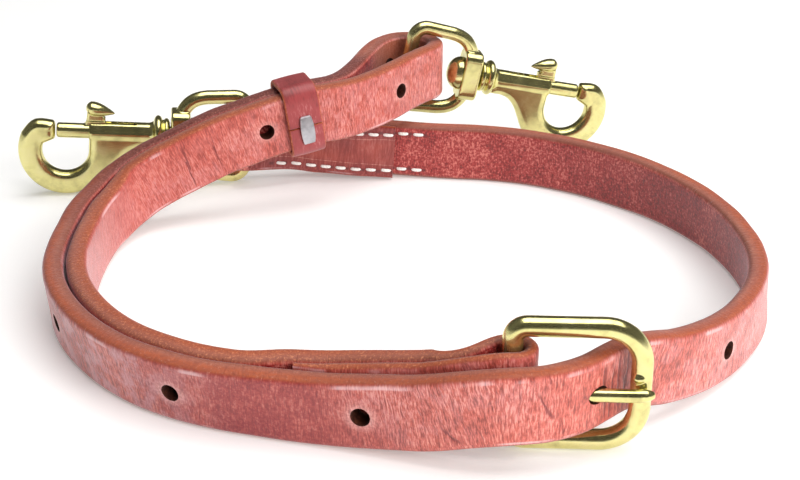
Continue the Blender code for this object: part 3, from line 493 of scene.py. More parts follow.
def cast(shapes, cuts, detail, softness):
    """Join shapes, soften every edge as a cast and polished piece has it, and cut the bores out."""
    work = bmesh.new()
    for shape in shapes:
        work.from_mesh(shape)
    joined = bpy.data.meshes.new("joined")
    work.to_mesh(joined)
    work.free()
    holder = hold(joined)
    remesh = holder.modifiers.new("even", "REMESH")
    remesh.mode = "VOXEL"
    remesh.voxel_size = detail
    soften = holder.modifiers.new("soften", "SMOOTH")
    soften.factor = 0.5
    soften.iterations = softness
    data = carved(holder, cuts)
    data.materials.clear()
    data.shade_smooth()
    data.set_sharp_from_angle(angle=math.radians(60))
    return data


# The route of the strap

def natural_spline(knots, values, at):
    """Pass a curve of steady bend through the values at the knots."""
    count = len(knots)
    gaps = np.diff(knots)
    rises = np.diff(values) / gaps
    system = np.eye(count)
    right = np.zeros(count)
    for i in range(1, count - 1):
        system[i, i - 1:i + 2] = gaps[i - 1], 2 * (gaps[i - 1] + gaps[i]), gaps[i]
        right[i] = 6 * (rises[i] - rises[i - 1])
    bends = np.linalg.solve(system, right)
    i = np.clip(np.searchsorted(knots, at) - 1, 0, count - 2)
    before = knots[i + 1] - at
    after = at - knots[i]
    cubic = (bends[i] * before ** 3 + bends[i + 1] * after ** 3) / (6 * gaps[i])
    left_part = (values[i] / gaps[i] - bends[i] * gaps[i] / 6) * before
    return cubic + left_part + (values[i + 1] / gaps[i] - bends[i + 1] * gaps[i] / 6) * after


def eased(knots, values, at):
    """Join values by curves that never pass beyond them."""
    knots = np.asarray(knots, float)
    values = np.asarray(values, float)
    gaps = np.diff(knots)
    rises = np.diff(values) / gaps
    slopes = np.zeros(len(knots))
    for i in range(1, len(knots) - 1):
        if rises[i - 1] * rises[i] > 0:
            slopes[i] = 2 * rises[i - 1] * rises[i] / (rises[i - 1] + rises[i])
    i = np.clip(np.searchsorted(knots, at) - 1, 0, len(gaps) - 1)
    t = np.clip((at - knots[i]) / gaps[i], 0, 1)
    start = (2 * t ** 3 - 3 * t ** 2 + 1) * values[i] + (t ** 3 - 2 * t ** 2 + t) * gaps[i] * slopes[i]
    return start + (3 * t ** 2 - 2 * t ** 3) * values[i + 1] + (t ** 3 - t ** 2) * gaps[i] * slopes[i + 1]


class OuterRun:
    """Outer face of the strap along its long outer run, read at any distance from the left snap."""

    def __init__(self):
        rows = np.array(OUTER_RUN)
        rows[:, :2] -= FOOTPRINT_CENTRE
        self.rows = rows
        steps = np.hypot(np.diff(rows[:, 0]), np.diff(rows[:, 1]))
        self.knots = np.concatenate(([0.0], np.cumsum(steps)))
        self.length = self.knots[-1]
        self.bar = self.knots[BAR_POINT]

    def face(self, at):
        """Give the place of the outer face, seen from above."""
        x = natural_spline(self.knots, self.rows[:, 0], at)
        y = natural_spline(self.knots, self.rows[:, 1], at)
        return np.stack((x, y), -1)

    def inward(self, at):
        """Give the direction from the outer face into the ring."""
        step = 0.0002
        along = self.face(np.minimum(at + step, self.length)) - self.face(np.maximum(at - step, 0.0))
        along /= np.linalg.norm(along, axis=-1, keepdims=True)
        return np.stack((along[..., 1], -along[..., 0]), -1)

    def heading(self, at):
        """Give the angle of the direction in which the run goes on."""
        inward = self.inward(np.array(at))
        return math.atan2(inward[0], -inward[1])

    def lift(self, at):
        """Give the height of the lower edge."""
        return eased(self.knots, self.rows[:, 2], at)

    def lean(self, at):
        """Give the outward lean in radians."""
        return np.radians(eased(self.knots, self.rows[:, 3], at))

    def layer(self, at, offset, thickness, side):
        """List x, y, lift, lean and thickness of a layer whose middle lies inward by an offset."""
        place = self.face(at) + self.inward(at) * offset[:, None]
        return np.column_stack((place, self.lift(at), side * self.lean(at), thickness))


def turn_points(centre, radius, start, end, lift, thickness, count=16):
    """List a level turn to the right about a centre, from one heading to another."""
    headings = np.linspace(start, end, count)
    x = centre[0] - radius * np.sin(headings)
    y = centre[1] + radius * np.cos(headings)
    same = np.ones(count)
    return np.column_stack((x, y, same * lift, same * 0, same * thickness))


def bow_points(first, start, last, end, lifts, count=36):
    """List a free curve between two points with given headings, for one side of the loose loop."""
    reach = 0.30 * np.linalg.norm(np.subtract(last, first))
    handles = (
        np.array(first),
        np.array(first) + reach * np.array((math.cos(start), math.sin(start))),
        np.array(last) - reach * np.array((math.cos(end), math.sin(end))),
        np.array(last),
    )
    t = np.linspace(0, 1, count)
    shares = ((1 - t) ** 3, 3 * t * (1 - t) ** 2, 3 * t ** 2 * (1 - t), t ** 3)
    place = sum(share[:, None] * handle for share, handle in zip(shares, handles))
    lift = eased((0, 0.6, 1), (lifts[0], lifts[0] * 0.3 + lifts[1] * 0.7, lifts[1]), t)
    same = np.ones(count)
    return np.column_stack((place, lift, same * 0, same * THICKNESS))


class StrapRoute:
    """Middle of the strap from its sewn tip at the left snap to its sewn tip at the buckle."""

    def __init__(self):
        run = OuterRun()
        self.run = run
        eye_turn = EYE_WIRE / 2 + EYE_BAR_PLAY
        bar_turn = BUCKLE_WIRE / 2 + SEAT_GAP
        fold = FOLD_THICKNESS
        half = math.pi

        self.snap_bar = run.face(np.array(0.0)) + run.inward(np.array(0.0)) * (fold + eye_turn)
        bar_at = np.array(run.bar)
        bar_depth = THICKNESS + STITCH_GAP + fold + bar_turn
        self.buckle_bar = run.face(bar_at) + run.inward(bar_at) * bar_depth
        snap_heading = run.heading(0.0)
        bar_heading = run.heading(run.bar)
        end_heading = run.heading(run.length)

        outer_at = np.arange(0.0, run.length, DENSE_STEP)
        outer_thickness = self.outer_thickness(outer_at)
        outer = run.layer(outer_at, outer_thickness / 2, outer_thickness, 1)

        back_at = np.arange(SNAP_RETURN, 0.0, -DENSE_STEP)
        back_thickness = self.return_thickness(back_at, SNAP_RETURN)
        back_offset = self.snap_return_face(back_at) + back_thickness / 2
        snap_return = run.layer(back_at, back_offset, back_thickness, -1)

        inner_at = np.arange(run.length, run.bar, -DENSE_STEP)
        inner_thickness = self.inner_thickness(inner_at)
        inner = run.layer(inner_at, self.inner_face(inner_at) + inner_thickness / 2, inner_thickness, -1)
        inner[:, 2] = self.sewn_lift(inner_at)

        front_at = np.arange(run.bar, run.bar + BUCKLE_RETURN, DENSE_STEP)
        front_thickness = self.return_thickness(front_at - run.bar, BUCKLE_RETURN)
        buckle_return = run.layer(front_at, THICKNESS + STITCH_GAP + front_thickness / 2, front_thickness, 1)
        buckle_return[:, 2] = self.sewn_lift(front_at)

        snap_fold = turn_points(self.snap_bar, eye_turn + fold / 2, snap_heading + half, snap_heading,
                                SNAP_LIFT, fold)
        self.loop_centre = np.subtract(LOOP_CENTRE, FOOTPRINT_CENTRE)
        loop = turn_points(self.loop_centre, LOOP_RADIUS, LOOP_FAR_HEADING, LOOP_NEAR_HEADING - half,
                           LOOP_LIFT, THICKNESS, 32)
        far_side = bow_points(outer[-1, :2], end_heading, loop[0, :2], LOOP_FAR_HEADING,
                              (outer[-1, 2], LOOP_LIFT))
        near_side = bow_points(loop[-1, :2], LOOP_NEAR_HEADING - half, inner[0, :2], end_heading - half,
                               (LOOP_LIFT, inner[0, 2]))
        buckle_fold = turn_points(self.buckle_bar, bar_turn + fold / 2, bar_heading + half, bar_heading,
                                  BUCKLE_LIFT, fold)
        pieces = (snap_return, snap_fold[1:-1], outer, far_side[1:-1], loop, near_side[1:-1], inner,
                  buckle_fold[1:-1], buckle_return)
        self.outer_start = len(snap_return) + len(snap_fold) - 2
        self.loop_start = self.outer_start + len(outer) + len(far_side) - 2
        self.inner_start = self.loop_start + len(loop) + len(near_side) - 2
        self.rows = np.concatenate(pieces)
        self.place_sections()

    def outer_thickness(self, at):
        """Give the thickness of the outer run, which is skived towards the left snap."""
        return eased((0, SKIVE_REACH, self.run.length), (FOLD_THICKNESS, THICKNESS, THICKNESS), at)

    def sewn_lift(self, at):
        """Give the lift of the sewn buckle end, which lies below the layer that runs through the buckle."""
        past = np.asarray(at) - self.run.bar
        drop = eased((0, RIDE_LENGTH), (STRAP_RIDE - BUCKLE_LIFT, 0), past)
        return self.run.lift(at) - np.where(past < 0, 0.0, drop)

    def inner_thickness(self, at):
        """Give the thickness of the inner run, which is skived towards the buckle."""
        bar = self.run.bar
        return eased((bar, bar + SKIVE_REACH, self.run.length), (FOLD_THICKNESS, THICKNESS, THICKNESS), at)

    def return_thickness(self, at, length):
        """Give the thickness of a sewn return, which is skived to a thin tip."""
        return eased((0, length - SKIVE_LENGTH, length), (FOLD_THICKNESS, FOLD_THICKNESS, SKIVE_TIP), at)

    def snap_return_face(self, at):
        """Give the depth of the snap return's hidden face under the outer face."""
        spread = EYE_WIRE + 2 * EYE_BAR_PLAY - LAYER_GAP
        return self.outer_thickness(at) + LAYER_GAP + eased((0, FLARE_LENGTH, 1), (spread, 0, 0), at)

    def inner_face(self, at):
        """Give the depth under the outer face of the inner layer's face that looks outward."""
        bar = self.run.bar
        behind_return = THICKNESS + STITCH_GAP + FOLD_THICKNESS + LAYER_GAP
        at_bar = THICKNESS + STITCH_GAP + FOLD_THICKNESS + BUCKLE_WIRE + 2 * SEAT_GAP
        behind_tip = THICKNESS + STITCH_GAP + SKIVE_TIP + LAYER_GAP
        doubled = THICKNESS + LAYER_GAP
        tip = bar + BUCKLE_RETURN
        knots = (bar, bar + FLARE_LENGTH, tip - SKIVE_LENGTH, tip, tip + SKIVE_LENGTH, self.run.length)
        return eased(knots, (at_bar, behind_return, behind_return, behind_tip, doubled, doubled), at)

    def place_sections(self):
        """Work out the middle, the outward side and the upward side of the strap at every row."""
        rows = self.rows
        floor_line = rows[:, :3]
        along = np.gradient(floor_line, axis=0)
        along /= np.linalg.norm(along, axis=1, keepdims=True)
        flat = np.hypot(along[:, 0], along[:, 1])
        side = np.column_stack((-along[:, 1] / flat, along[:, 0] / flat, np.zeros(len(rows))))
        up = np.cross(along, side)
        lean_cos = np.cos(rows[:, 3])[:, None]
        lean_sin = np.sin(rows[:, 3])[:, None]
        self.thickness = rows[:, 4]
        rise = WIDTH / 2 * lean_cos + self.thickness[:, None] / 2 * abs(lean_sin)
        self.middle = floor_line + up * rise
        self.up = up * lean_cos + side * lean_sin
        self.side = side * lean_cos - up * lean_sin
        self.along = along
        steps = np.linalg.norm(np.diff(self.middle, axis=0), axis=1)
        self.distance = np.concatenate(([0.0], np.cumsum(steps)))

    def nearest(self, distance):
        """Find the row that lies nearest to a distance along the strap."""
        return int(np.argmin(abs(self.distance - distance)))


ROUTE = StrapRoute()
BUCKLE_HEADING = (math.cos(BUCKLE_YAW), math.sin(BUCKLE_YAW), 0)
BUCKLE_PLACE = place_matrix((*ROUTE.buckle_bar, BUCKLE_MIDDLE), BUCKLE_HEADING, (0, 0, 1))
TONGUE_PLACE = BUCKLE_PLACE @ Matrix.Translation((0, 0, TONGUE_DROP))


def snap_places():
    """Give the frame of each snap at the bar of its eye, with its hook resting on the floor."""
    def tilted(origin, yaw, pitch):
        along = (math.cos(yaw) * math.cos(pitch), math.sin(yaw) * math.cos(pitch), math.sin(pitch))
        return place_matrix(origin, along, (0, 0, 1))

    rise = math.atan2(HOOK_RADIUS + THROAT_DROP - EYE_HALF, THROAT_CENTRE[0])
    top = LOOP_LIFT + WIDTH + SEAT_GAP
    fall = 0.0
    # the fall and the height of the bar hang on each other and settle step by step
    for _ in range(30):
        bar = top - EYE_OPENING / 2 * math.cos(fall) + (LOOP_RADIUS + THICKNESS / 2) * math.sin(fall)
        fall = math.asin((bar - THROAT_DROP * math.cos(fall) - HOOK_RADIUS - SEAT_GAP) / THROAT_CENTRE[0])
    return {
        "left": tilted((*ROUTE.snap_bar, EYE_HALF), LEFT_SNAP_YAW, rise),
        "right": tilted((*ROUTE.loop_centre, bar), RIGHT_SNAP_YAW, -fall),
    }


def keeper_place():
    """Give the frame of the keeper, between the two layers that it holds."""
    i = ROUTE.outer_start + int((ROUTE.run.length - KEEPER_FROM_END) / DENSE_STEP)
    between = ROUTE.middle[i] - ROUTE.side[i] * (THICKNESS + LAYER_GAP) / 2
    return place_matrix(between, ROUTE.along[i], ROUTE.up[i])


def tongue_hole_row():
    """Find where the straight tongue meets the middle of the strap."""
    along = np.array(BUCKLE_HEADING[:2])
    across = np.array((-along[1], along[0]))
    outer = slice(ROUTE.outer_start, ROUTE.outer_start + int(ROUTE.run.length / DENSE_STEP))
    offset = (ROUTE.rows[outer, :2] - ROUTE.buckle_bar) @ across - TONGUE_SIDE
    ahead = (ROUTE.rows[outer, :2] - ROUTE.buckle_bar) @ along
    offset[(ahead < 0) | (ahead > BUCKLE_LENGTH)] = 1.0
    return ROUTE.outer_start + int(np.argmin(abs(offset)))


def hole_rows():
    """List the rows of the adjusting holes, leaving out the one that the tongue fills."""
    tongue = ROUTE.distance[tongue_hole_row()]
    stretch = FIRST_HOLE - HOLE_SPACING
    return [ROUTE.nearest(tongue + n * HOLE_SPACING + math.copysign(stretch, n)) for n in HOLE_NUMBERS]


# A flat strip of leather with rounded edges

def strip_profile(half, high, rounding, crown):
    """List points round a strip's section, grain face and top edge first, with their shares of the way."""
    radius = min(rounding, 0.85 * half)
    corner = [math.pi / 2 * k / 5 for k in range(6)]
    points = []
    shares = []

    def face(sign, start):
        for t in np.linspace(0, 1, 11):
            height = sign * (2 * t - 1) * (high - radius)
            points.append((sign * (half + crown * (1 - (2 * t - 1) ** 2)), height))
            shares.append(start + FACE_SHARE * t)

    def edge(sign, start):
        for t in corner[1:]:
            points.append((sign * (half - radius + radius * math.cos(t)),
                           sign * (high - radius + radius * math.sin(t))))
            shares.append(start + CORNER_SHARE * t / (math.pi / 2))
        for t in corner[:-1]:
            points.append((-sign * (half - radius + radius * math.sin(t)),
                           sign * (high - radius + radius * math.cos(t))))
            shares.append(start + CORNER_SHARE + EDGE_SHARE + CORNER_SHARE * t / (math.pi / 2))

    face(1, 0.0)
    edge(1, FACE_SHARE)
    face(-1, 0.5)
    edge(-1, 0.5 + FACE_SHARE)
    return np.array(points), np.array(shares)


def strip_mesh(middle, side, up, thickness, width, distance, rounding, crown=0.0, rough=0.0):
    """Loft a strip through its sections, with a map of distance along it and share of the way round it."""
    rings = []
    for i in range(len(middle)):
        points, shares = strip_profile(thickness[i] / 2, width / 2, rounding, crown)
        rings.append(middle[i] + points[:, :1] * side[i] + points[:, 1:] * up[i])
    around = len(shares)
    places = np.concatenate(rings)
    if rough:
        count = 12
        chance = np.random.default_rng(7)
        waves = chance.normal(size=(count, 3)) * 260.0
        phases = chance.uniform(0, 2 * math.pi, count)
        swell = np.sin(places @ waves.T + phases).sum(1) / math.sqrt(count)
        outward = places - np.repeat(middle, around, axis=0)
        outward /= np.linalg.norm(outward, axis=1, keepdims=True)
        places = places + outward * (swell * rough)[:, None]
    faces = []
    spots = []
    closing = np.append(shares, 1.0)
    for i in range(len(middle) - 1):
        for k in range(around):
            n = (k + 1) % around
            faces.append((i * around + k, i * around + n, (i + 1) * around + n, (i + 1) * around + k))
            spots += [(distance[i], closing[k]), (distance[i], closing[k + 1]),
                      (distance[i + 1], closing[k + 1]), (distance[i + 1], closing[k])]
    for ring in (0, len(middle) - 1):
        faces.append([ring * around + k for k in range(around)])
        spots += [(distance[ring], FACE_SHARE + CORNER_SHARE + EDGE_SHARE / 2)] * around
    data = bpy.data.meshes.new("strip")
    data.from_pydata(places.tolist(), [], faces)
    lay = data.uv_layers.new(name="lay")
    lay.data.foreach_set("uv", np.array(spots, np.float32).ravel())
    work = bmesh.new()
    work.from_mesh(data)
    bmesh.ops.recalc_face_normals(work, faces=work.faces)
    work.to_mesh(data)
    work.free()
    data.shade_smooth()
    return data


# Materials

class Signal:
    """A number from a shader socket, which sums, products and steps can be written with."""

    def __init__(self, finish, socket):
        self.finish = finish
        self.socket = socket

    def maths(self, operation, first, second=0.5):
        """Work out one operation on two numbers."""
        return self.finish.add("ShaderNodeMath", {"operation": operation}, {0: first, 1: second})

    def __add__(self, other):
        return self.maths("ADD", self, other)

    def __radd__(self, other):
        return self.maths("ADD", other, self)

    def __sub__(self, other):
        return self.maths("SUBTRACT", self, other)

    def __rsub__(self, other):
        return self.maths("SUBTRACT", other, self)

    def __mul__(self, other):
        return self.maths("MULTIPLY", self, other)

    def __truediv__(self, other):
        return self.maths("DIVIDE", self, other)

    def __pow__(self, other):
        return self.maths("POWER", self, other)

    def __abs__(self):
        return self.maths("ABSOLUTE", self)

    def rise(self, low, high):
        """Go smoothly from 0 at the low value to 1 at the high one."""
        settings = {"interpolation_type": "SMOOTHSTEP"}
        return self.finish.add("ShaderNodeMapRange", settings, {"Value": self, 1: low, 2: high})

    def fade(self, low, high, first, last):
        """Go evenly from the first value at the low end to the last value at the high end."""
        sockets = {"Value": self, 1: low, 2: high, 3: first, 4: last}
        return self.finish.add("ShaderNodeMapRange", None, sockets)

    def band(self, low, high, soft):
        """Give 1 between two values and 0 outside them."""
        return self.rise(low - soft, low + soft) * (1 - self.rise(high - soft, high + soft))


class Finish:
    """A material, or the studio's surroundings, whose nodes are added one by one."""

    def __init__(self, name, owners=None, shader="Principled BSDF"):
        if owners is None:
            owners = bpy.data.materials
        self.owner = owners.new(name)
        self.owner.use_nodes = True
        self.tree = self.owner.node_tree
        self.shader = self.tree.nodes[shader]

    def add(self, kind, settings=None, sockets=None, output=0):
        """Add a node, set it up, feed its sockets with values or links, and give one of its outputs."""
        node = self.tree.nodes.new(kind)
        for key, value in (settings or {}).items():
            if key == "stops":
                self.set_stops(node.color_ramp, value)
            else:
                setattr(node, key, value)
        self.feed(node, sockets or {})
        return Signal(self, node.outputs[output])

    def feed(self, node, sockets):
        """Link signals to a node's sockets and set the other values."""
        for key, value in sockets.items():
            if isinstance(value, Signal):
                self.tree.links.new(value.socket, node.inputs[key])
            else:
                node.inputs[key].default_value = value

    def set_stops(self, ramp, stops):
        """Set a ramp's places and colours, two of which it has from the start."""
        for place, _ in stops[2:]:
            ramp.elements.new(place)
        for element, (place, colour) in zip(ramp.elements, sorted(stops)):
            element.position = place
            element.color = (*colour, 1.0)

    def mix(self, share, first, second):
        """Mix two colours."""
        colours = {}
        for key, colour in ((6, first), (7, second)):
            colours[key] = colour if isinstance(colour, Signal) else (*colour, 1.0)
        settings = {"data_type": "RGBA", "clamp_factor": True}
        return self.add("ShaderNodeMix", settings, {0: share, **colours}, 2)

    def ramp(self, share, stops):
        """Turn a number into a colour."""
        return self.add("ShaderNodeValToRGB", {"stops": stops}, {"Fac": share})

    def places(self):
        """Give the places of the piece's own surface in metres."""
        return self.add("ShaderNodeTexCoord", None, None, 3)

    def stretched(self, vector, scale):
        """Scale places axis by axis, which draws a noise out along an axis with a small scale."""
        return self.add("ShaderNodeMapping", {"vector_type": "POINT"}, {"Vector": vector, "Scale": scale})

    def noise(self, vector, scale, detail=3.0, roughness=0.55):
        """Give a cloudy noise between 0 and 1."""
        sockets = {"Vector": vector, "Scale": scale, "Detail": detail, "Roughness": roughness}
        return self.add("ShaderNodeTexNoise", {"noise_dimensions": "3D"}, sockets)

    def cells(self, vector, scale):
        """Give the distance to the nearest of scattered points."""
        return self.add("ShaderNodeTexVoronoi", {"feature": "F1"}, {"Vector": vector, "Scale": scale})

    def bump(self, height, distance, strength, below=None):
        """Give the surface's direction as a height bends it, over another bend if one is given."""
        sockets = {"Height": height, "Distance": distance, "Strength": strength}
        if below is not None:
            sockets["Normal"] = below
        return self.add("ShaderNodeBump", None, sockets)

    def split(self, vector):
        """Give the three numbers of a vector."""
        node = self.tree.nodes.new("ShaderNodeSeparateXYZ")
        self.tree.links.new(vector.socket, node.inputs[0])
        return [Signal(self, output) for output in node.outputs]

    def lay(self):
        """Give the distance along a strip in metres and the share of the way round its section."""
        return self.split(self.add("ShaderNodeUVMap", {"uv_map": "lay"}))[:2]

    def done(self, colour, roughness, normal=None, **fixed):
        """Feed the shader and give the material."""
        sockets = {"Base Color": colour, "Roughness": roughness}
        if normal is not None:
            sockets["Normal"] = normal
        self.feed(self.shader, {**sockets, **fixed})
        return self.owner


def shade(colour, factor):
    """Make a colour darker or lighter."""
    return tuple(min(1.0, c * factor) for c in colour)


def tint(colour, other, share):
    """Move a colour towards another by a share."""
    return tuple(a * (1 - share) + b * share for a, b in zip(colour, other))


def edge_mask(around):
    """Give 1 on the cut edges of a strip and 0 on its two faces."""
    soft = 0.010
    inset = 0.016
    top = around.band(FACE_SHARE + inset, 0.5 - inset, soft)
    low = around.band(0.5 + FACE_SHARE + inset, 1.0 - inset, soft)
    return top + low


def strap_leather(look):
    """Harness leather: wrinkled pink grain, crimson flesh side and tan cut edges, with painted shade in the
    creases.
    """
    finish = Finish("russet_leather")
    along, around = finish.lay()
    place = finish.places()
    spread = around * AROUND_METRES
    wander = finish.noise(place, 260.0, 2.0) - 0.5
    flat = finish.add("ShaderNodeCombineXYZ", None, {0: along + wander * 0.0009, 1: spread * 0.11, 2: 0.0})
    even = finish.add("ShaderNodeCombineXYZ", None, {0: along, 1: spread, 2: 0.0})
    wrinkle = finish.noise(flat, 2900.0, 3.0, 0.60).rise(0.30, 0.70)
    streak = finish.noise(flat, 1150.0, 3.0, 0.55).rise(0.30, 0.70)
    pore = finish.cells(even, 1700.0)
    speck = finish.noise(place, 1700.0, 2.0, 0.6)
    mottle = finish.noise(place, 1250.0, 3.0, 0.60).rise(0.30, 0.70)
    cloud = finish.noise(place, 170.0, 3.0, 0.6).rise(0.32, 0.68)
    blotch = finish.noise(place, 48.0, 3.0, 0.6).rise(0.30, 0.70)
    patch = finish.noise(place, 15.0, 2.0, 0.5).rise(0.36, 0.62)

    flesh = around.band(0.492, 0.5 + FACE_SHARE + 0.008, 0.006)
    edge = edge_mask(around)
    tongue = float(ROUTE.distance[tongue_hole_row()])
    loop_start = float(ROUTE.distance[ROUTE.loop_start]) - 0.020
    loop_end = float(ROUTE.distance[ROUTE.inner_start])

    grain_tone = wrinkle * 0.58 + mottle * 0.20 + streak * 0.36 + cloud * 0.10 + blotch * 0.22 - 0.23
    grain = finish.ramp(grain_tone, ((0.18, shade(look.grain, 0.46)), (0.40, shade(look.grain, 0.84)),
                                     (0.56, look.grain), (0.86, tint(look.grain, PALE_GRAIN, 0.55))))
    dash = 1 - finish.noise(flat, 1300.0, 2.0, 0.5).rise(0.27, 0.38)
    grain = finish.mix(dash * 0.50, grain, CREASE_SHADE_AND_GRAIN_DASH)
    scuff = patch * blotch * wrinkle.rise(0.35, 0.80)
    grain = finish.mix(scuff * 0.30, grain, SCUFF_TONE)
    # round the left bend the grain turns lilac: painted sheen, with scattered patches of real wear
    sheen_and_wear = along.band(tongue + 0.100, tongue + 0.185, 0.016) * 0.75 + patch * 0.25
    grain = finish.mix(sheen_and_wear * cloud.rise(0.20, 0.90) * (0.35 + wrinkle * 0.55), grain, LILAC_SHEEN_AND_WEAR)
    # dark crimson band on the front left: partly a stain, partly painted shade of the leaning face
    stain_and_shade = along.band(tongue + 0.055, tongue + 0.112, 0.022) * (1.1 - blotch * 0.5)
    grain = finish.mix(stain_and_shade * (0.98 - mottle * 0.45), grain, CRIMSON_STAIN_AND_SHADE)
    outer_start = float(ROUTE.distance[ROUTE.outer_start])
    # the back of the outer run from the left snap, which the brass mirrors, is darkened as painted shade
    behind = along.band(outer_start, outer_start + 0.135, 0.010)
    grain = finish.mix(behind * 0.75, grain, BACK_SHADE)
    grain = finish.mix(hole_halo(along, spread) * (0.20 + mottle * 0.35), grain, HOLE_RING)
    inner = along.rise(loop_end - 0.060, loop_end - 0.030)
    left_run = along.band(loop_end + 0.050, loop_end + 0.170, 0.030)
    grain = finish.mix(inner * 0.24 + left_run * 0.24, grain, INNER_RUN_TONE)
    sewn = 1 - along.rise(SNAP_RETURN - 0.0008, SNAP_RETURN)
    # the sewn end at the left snap is dark crimson and lighter between the stitch rows: partly burnished
    # colour, partly a painted highlight
    between_rows = around.band(0.095, 0.285, 0.05)
    burnished = finish.mix(between_rows * blotch, shade(look.flesh, 0.52), BURNISHED_AND_HIGHLIGHT_TONE)
    grain = finish.mix(sewn * (0.95 - streak * 0.22), grain, burnished)

    flesh_tone = mottle * 0.54 + wrinkle * 0.40 + cloud * 0.14 + blotch * 0.24 - 0.16
    raw = finish.ramp(flesh_tone, ((0.18, shade(look.flesh, 0.42)), (0.42, shade(look.flesh, 0.85)),
                                   (0.58, look.flesh), (0.84, tint(look.flesh, PALE_FLESH, 0.60))))
    raw = finish.mix(along.band(loop_start, loop_end, 0.006) * 0.75, raw, LOOP_FLESH)
    raw = finish.mix(speck.rise(0.60, 0.74) * 0.22, raw, FLESH_SPECK)
    face = finish.mix(flesh, grain, raw)

    cut = cut_edge(finish, look, place, around, blotch, speck)
    # the cut edges are darker, with paler fibres, along the outer run from the left bend to the loop
    left_outer_edges = along.rise(tongue + 0.17, tongue + 0.26) * (1 - along.rise(loop_start - 0.01, loop_start))
    fibre = speck.rise(0.50, 0.68)
    cut = finish.mix(left_outer_edges * (0.94 - mottle * 0.34), cut, LEFT_OUTER_EDGE_TONE)
    cut = finish.mix(left_outer_edges * fibre * 0.40, cut, LEFT_OUTER_FIBRE)
    cut = finish.mix(inner * 0.20, cut, INNER_EDGE)
    cut = finish.mix(inner * fibre * 0.45, cut, INNER_FIBRE)
    colour = finish.mix(edge, face, cut)
    # painted highlight along both corners of the grain face
    rim = around.band(FACE_SHARE - 0.004, FACE_SHARE + 0.012, 0.006) + around.band(0.988, 0.999, 0.004)
    colour = finish.mix(rim * 0.45 * blotch.rise(0.55, 0.98), colour, RIM_HIGHLIGHT)

    # crease lines: sunk by the bump and darkened with painted shade
    crease = crease_lines(along, spread, streak)
    colour = finish.mix(crease * 0.75, colour, CREASE_SHADE_AND_GRAIN_DASH)
    score = score_lines(along, around) * streak
    colour = finish.mix(score * 0.55, colour, SCORE_TONE)
    # painted shadow in the awl pits between the stitches
    pit = stitch_pit_shadows(along, around)
    colour = finish.mix(pit * 0.80, colour, STITCH_PIT_SHADOW)

    height = wrinkle * 0.26 + streak * 0.20 - crease * 1.2 - dash * 0.5 - score * 0.4
    normal = finish.bump(height, 0.00026, 0.70)
    normal = finish.bump(pore + speck * edge * 2.0, 0.00010, 0.40, normal)
    roughness = 0.38 + wrinkle * 0.10 + edge * 0.20 + flesh * 0.06
    fixed = {"Specular IOR Level": 0.50,
             "Coat Weight": 0.22 - flesh * 0.10 - edge * 0.16, "Coat Roughness": 0.26,
             "Sheen Weight": 0.30, "Sheen Roughness": 0.32, "Sheen Tint": (0.95, 0.88, 1.0, 1.0)}
    return finish.done(colour, roughness, normal, **fixed)


def hole_halo(along, spread):
    """Give the paler ring that the punch has left round each adjusting hole on the grain side."""
    middle = FACE_SHARE * AROUND_METRES / 2
    total = 0.0
    for row in hole_rows():
        ahead = along - float(ROUTE.distance[row])
        across = spread - middle
        reach = (ahead * ahead + across * across) ** 0.5
        total = total + (1 - reach.rise(0.0024, 0.0056))
    return total


def stitch_pit_shadows(along, around):
    """Give the painted shadow of the awl pits between the stitches on the inner side of the end at the left
    snap.
    """
    pitch = ThreadLook.bl_rna.properties["pitch"].default
    outer_start = float(ROUTE.distance[ROUTE.outer_start])
    sewn = SNAP_RETURN - STITCH_START
    flesh_shares = [0.5 + share for share in STITCH_SHARES]
    # place of the first stitch, shares of the two rows, start and end of the painted pit shadows
    ends = (
        (sewn, STITCH_SHARES, 0.0, sewn + 0.0008),
        (outer_start + STITCH_START, flesh_shares, outer_start + SNAP_RETURN, outer_start + 0.063),
    )
    total = 0.0
    for first, rows, low, high in ends:
        turns = (along - (first - 200 * pitch)) / pitch
        near = abs(turns - turns.maths("FLOOR", turns) - 0.5).rise(0.28, 0.38)
        line = 0.0
        for row in rows:
            line = line + around.band(row - 0.011, row + 0.011, 0.005)
        total = total + near * line * along.band(low, high, 0.0003)
    return total


def cut_edge(finish, look, place, around, blotch, speck):
    """Colour the cut edges: dark red at the grain, then orange, tan and brown towards the flesh."""
    top = (around - FACE_SHARE) / (0.5 - FACE_SHARE)
    low = (1 - around) / (0.5 - FACE_SHARE)
    lower_half = around.rise(0.68, 0.70)
    across = top * (1 - lower_half) + low * lower_half
    fibre = finish.noise(finish.stretched(place, (1.0, 1.0, 2.2)), 820.0, 4.0, 0.7).rise(0.30, 0.70)
    tan = tint(look.cut_edge, (0.42, 0.17, 0.12), 0.65)
    colour = finish.ramp(across, ((0.06, (0.27, 0.028, 0.018)), (0.22, shade(look.cut_edge, 0.85)),
                                  (0.40, look.cut_edge), (0.60, tan), (0.86, shade(tan, 0.50))))
    colour = finish.mix((1 - fibre) * 0.45, colour, (0.17, 0.036, 0.028))
    colour = finish.mix(blotch * 0.30, colour, (0.24, 0.062, 0.052))
    return finish.mix(speck.rise(0.58, 0.74) * 0.20, colour, (0.80, 0.48, 0.38))


def score_lines(along, around):
    """Give the pale lines scored beside the stitches of the sewn end at the left snap."""
    rows = around.band(0.084, 0.089, 0.002) + around.band(0.290, 0.295, 0.002)
    return rows * (1 - along.rise(SNAP_RETURN - 0.002, SNAP_RETURN))


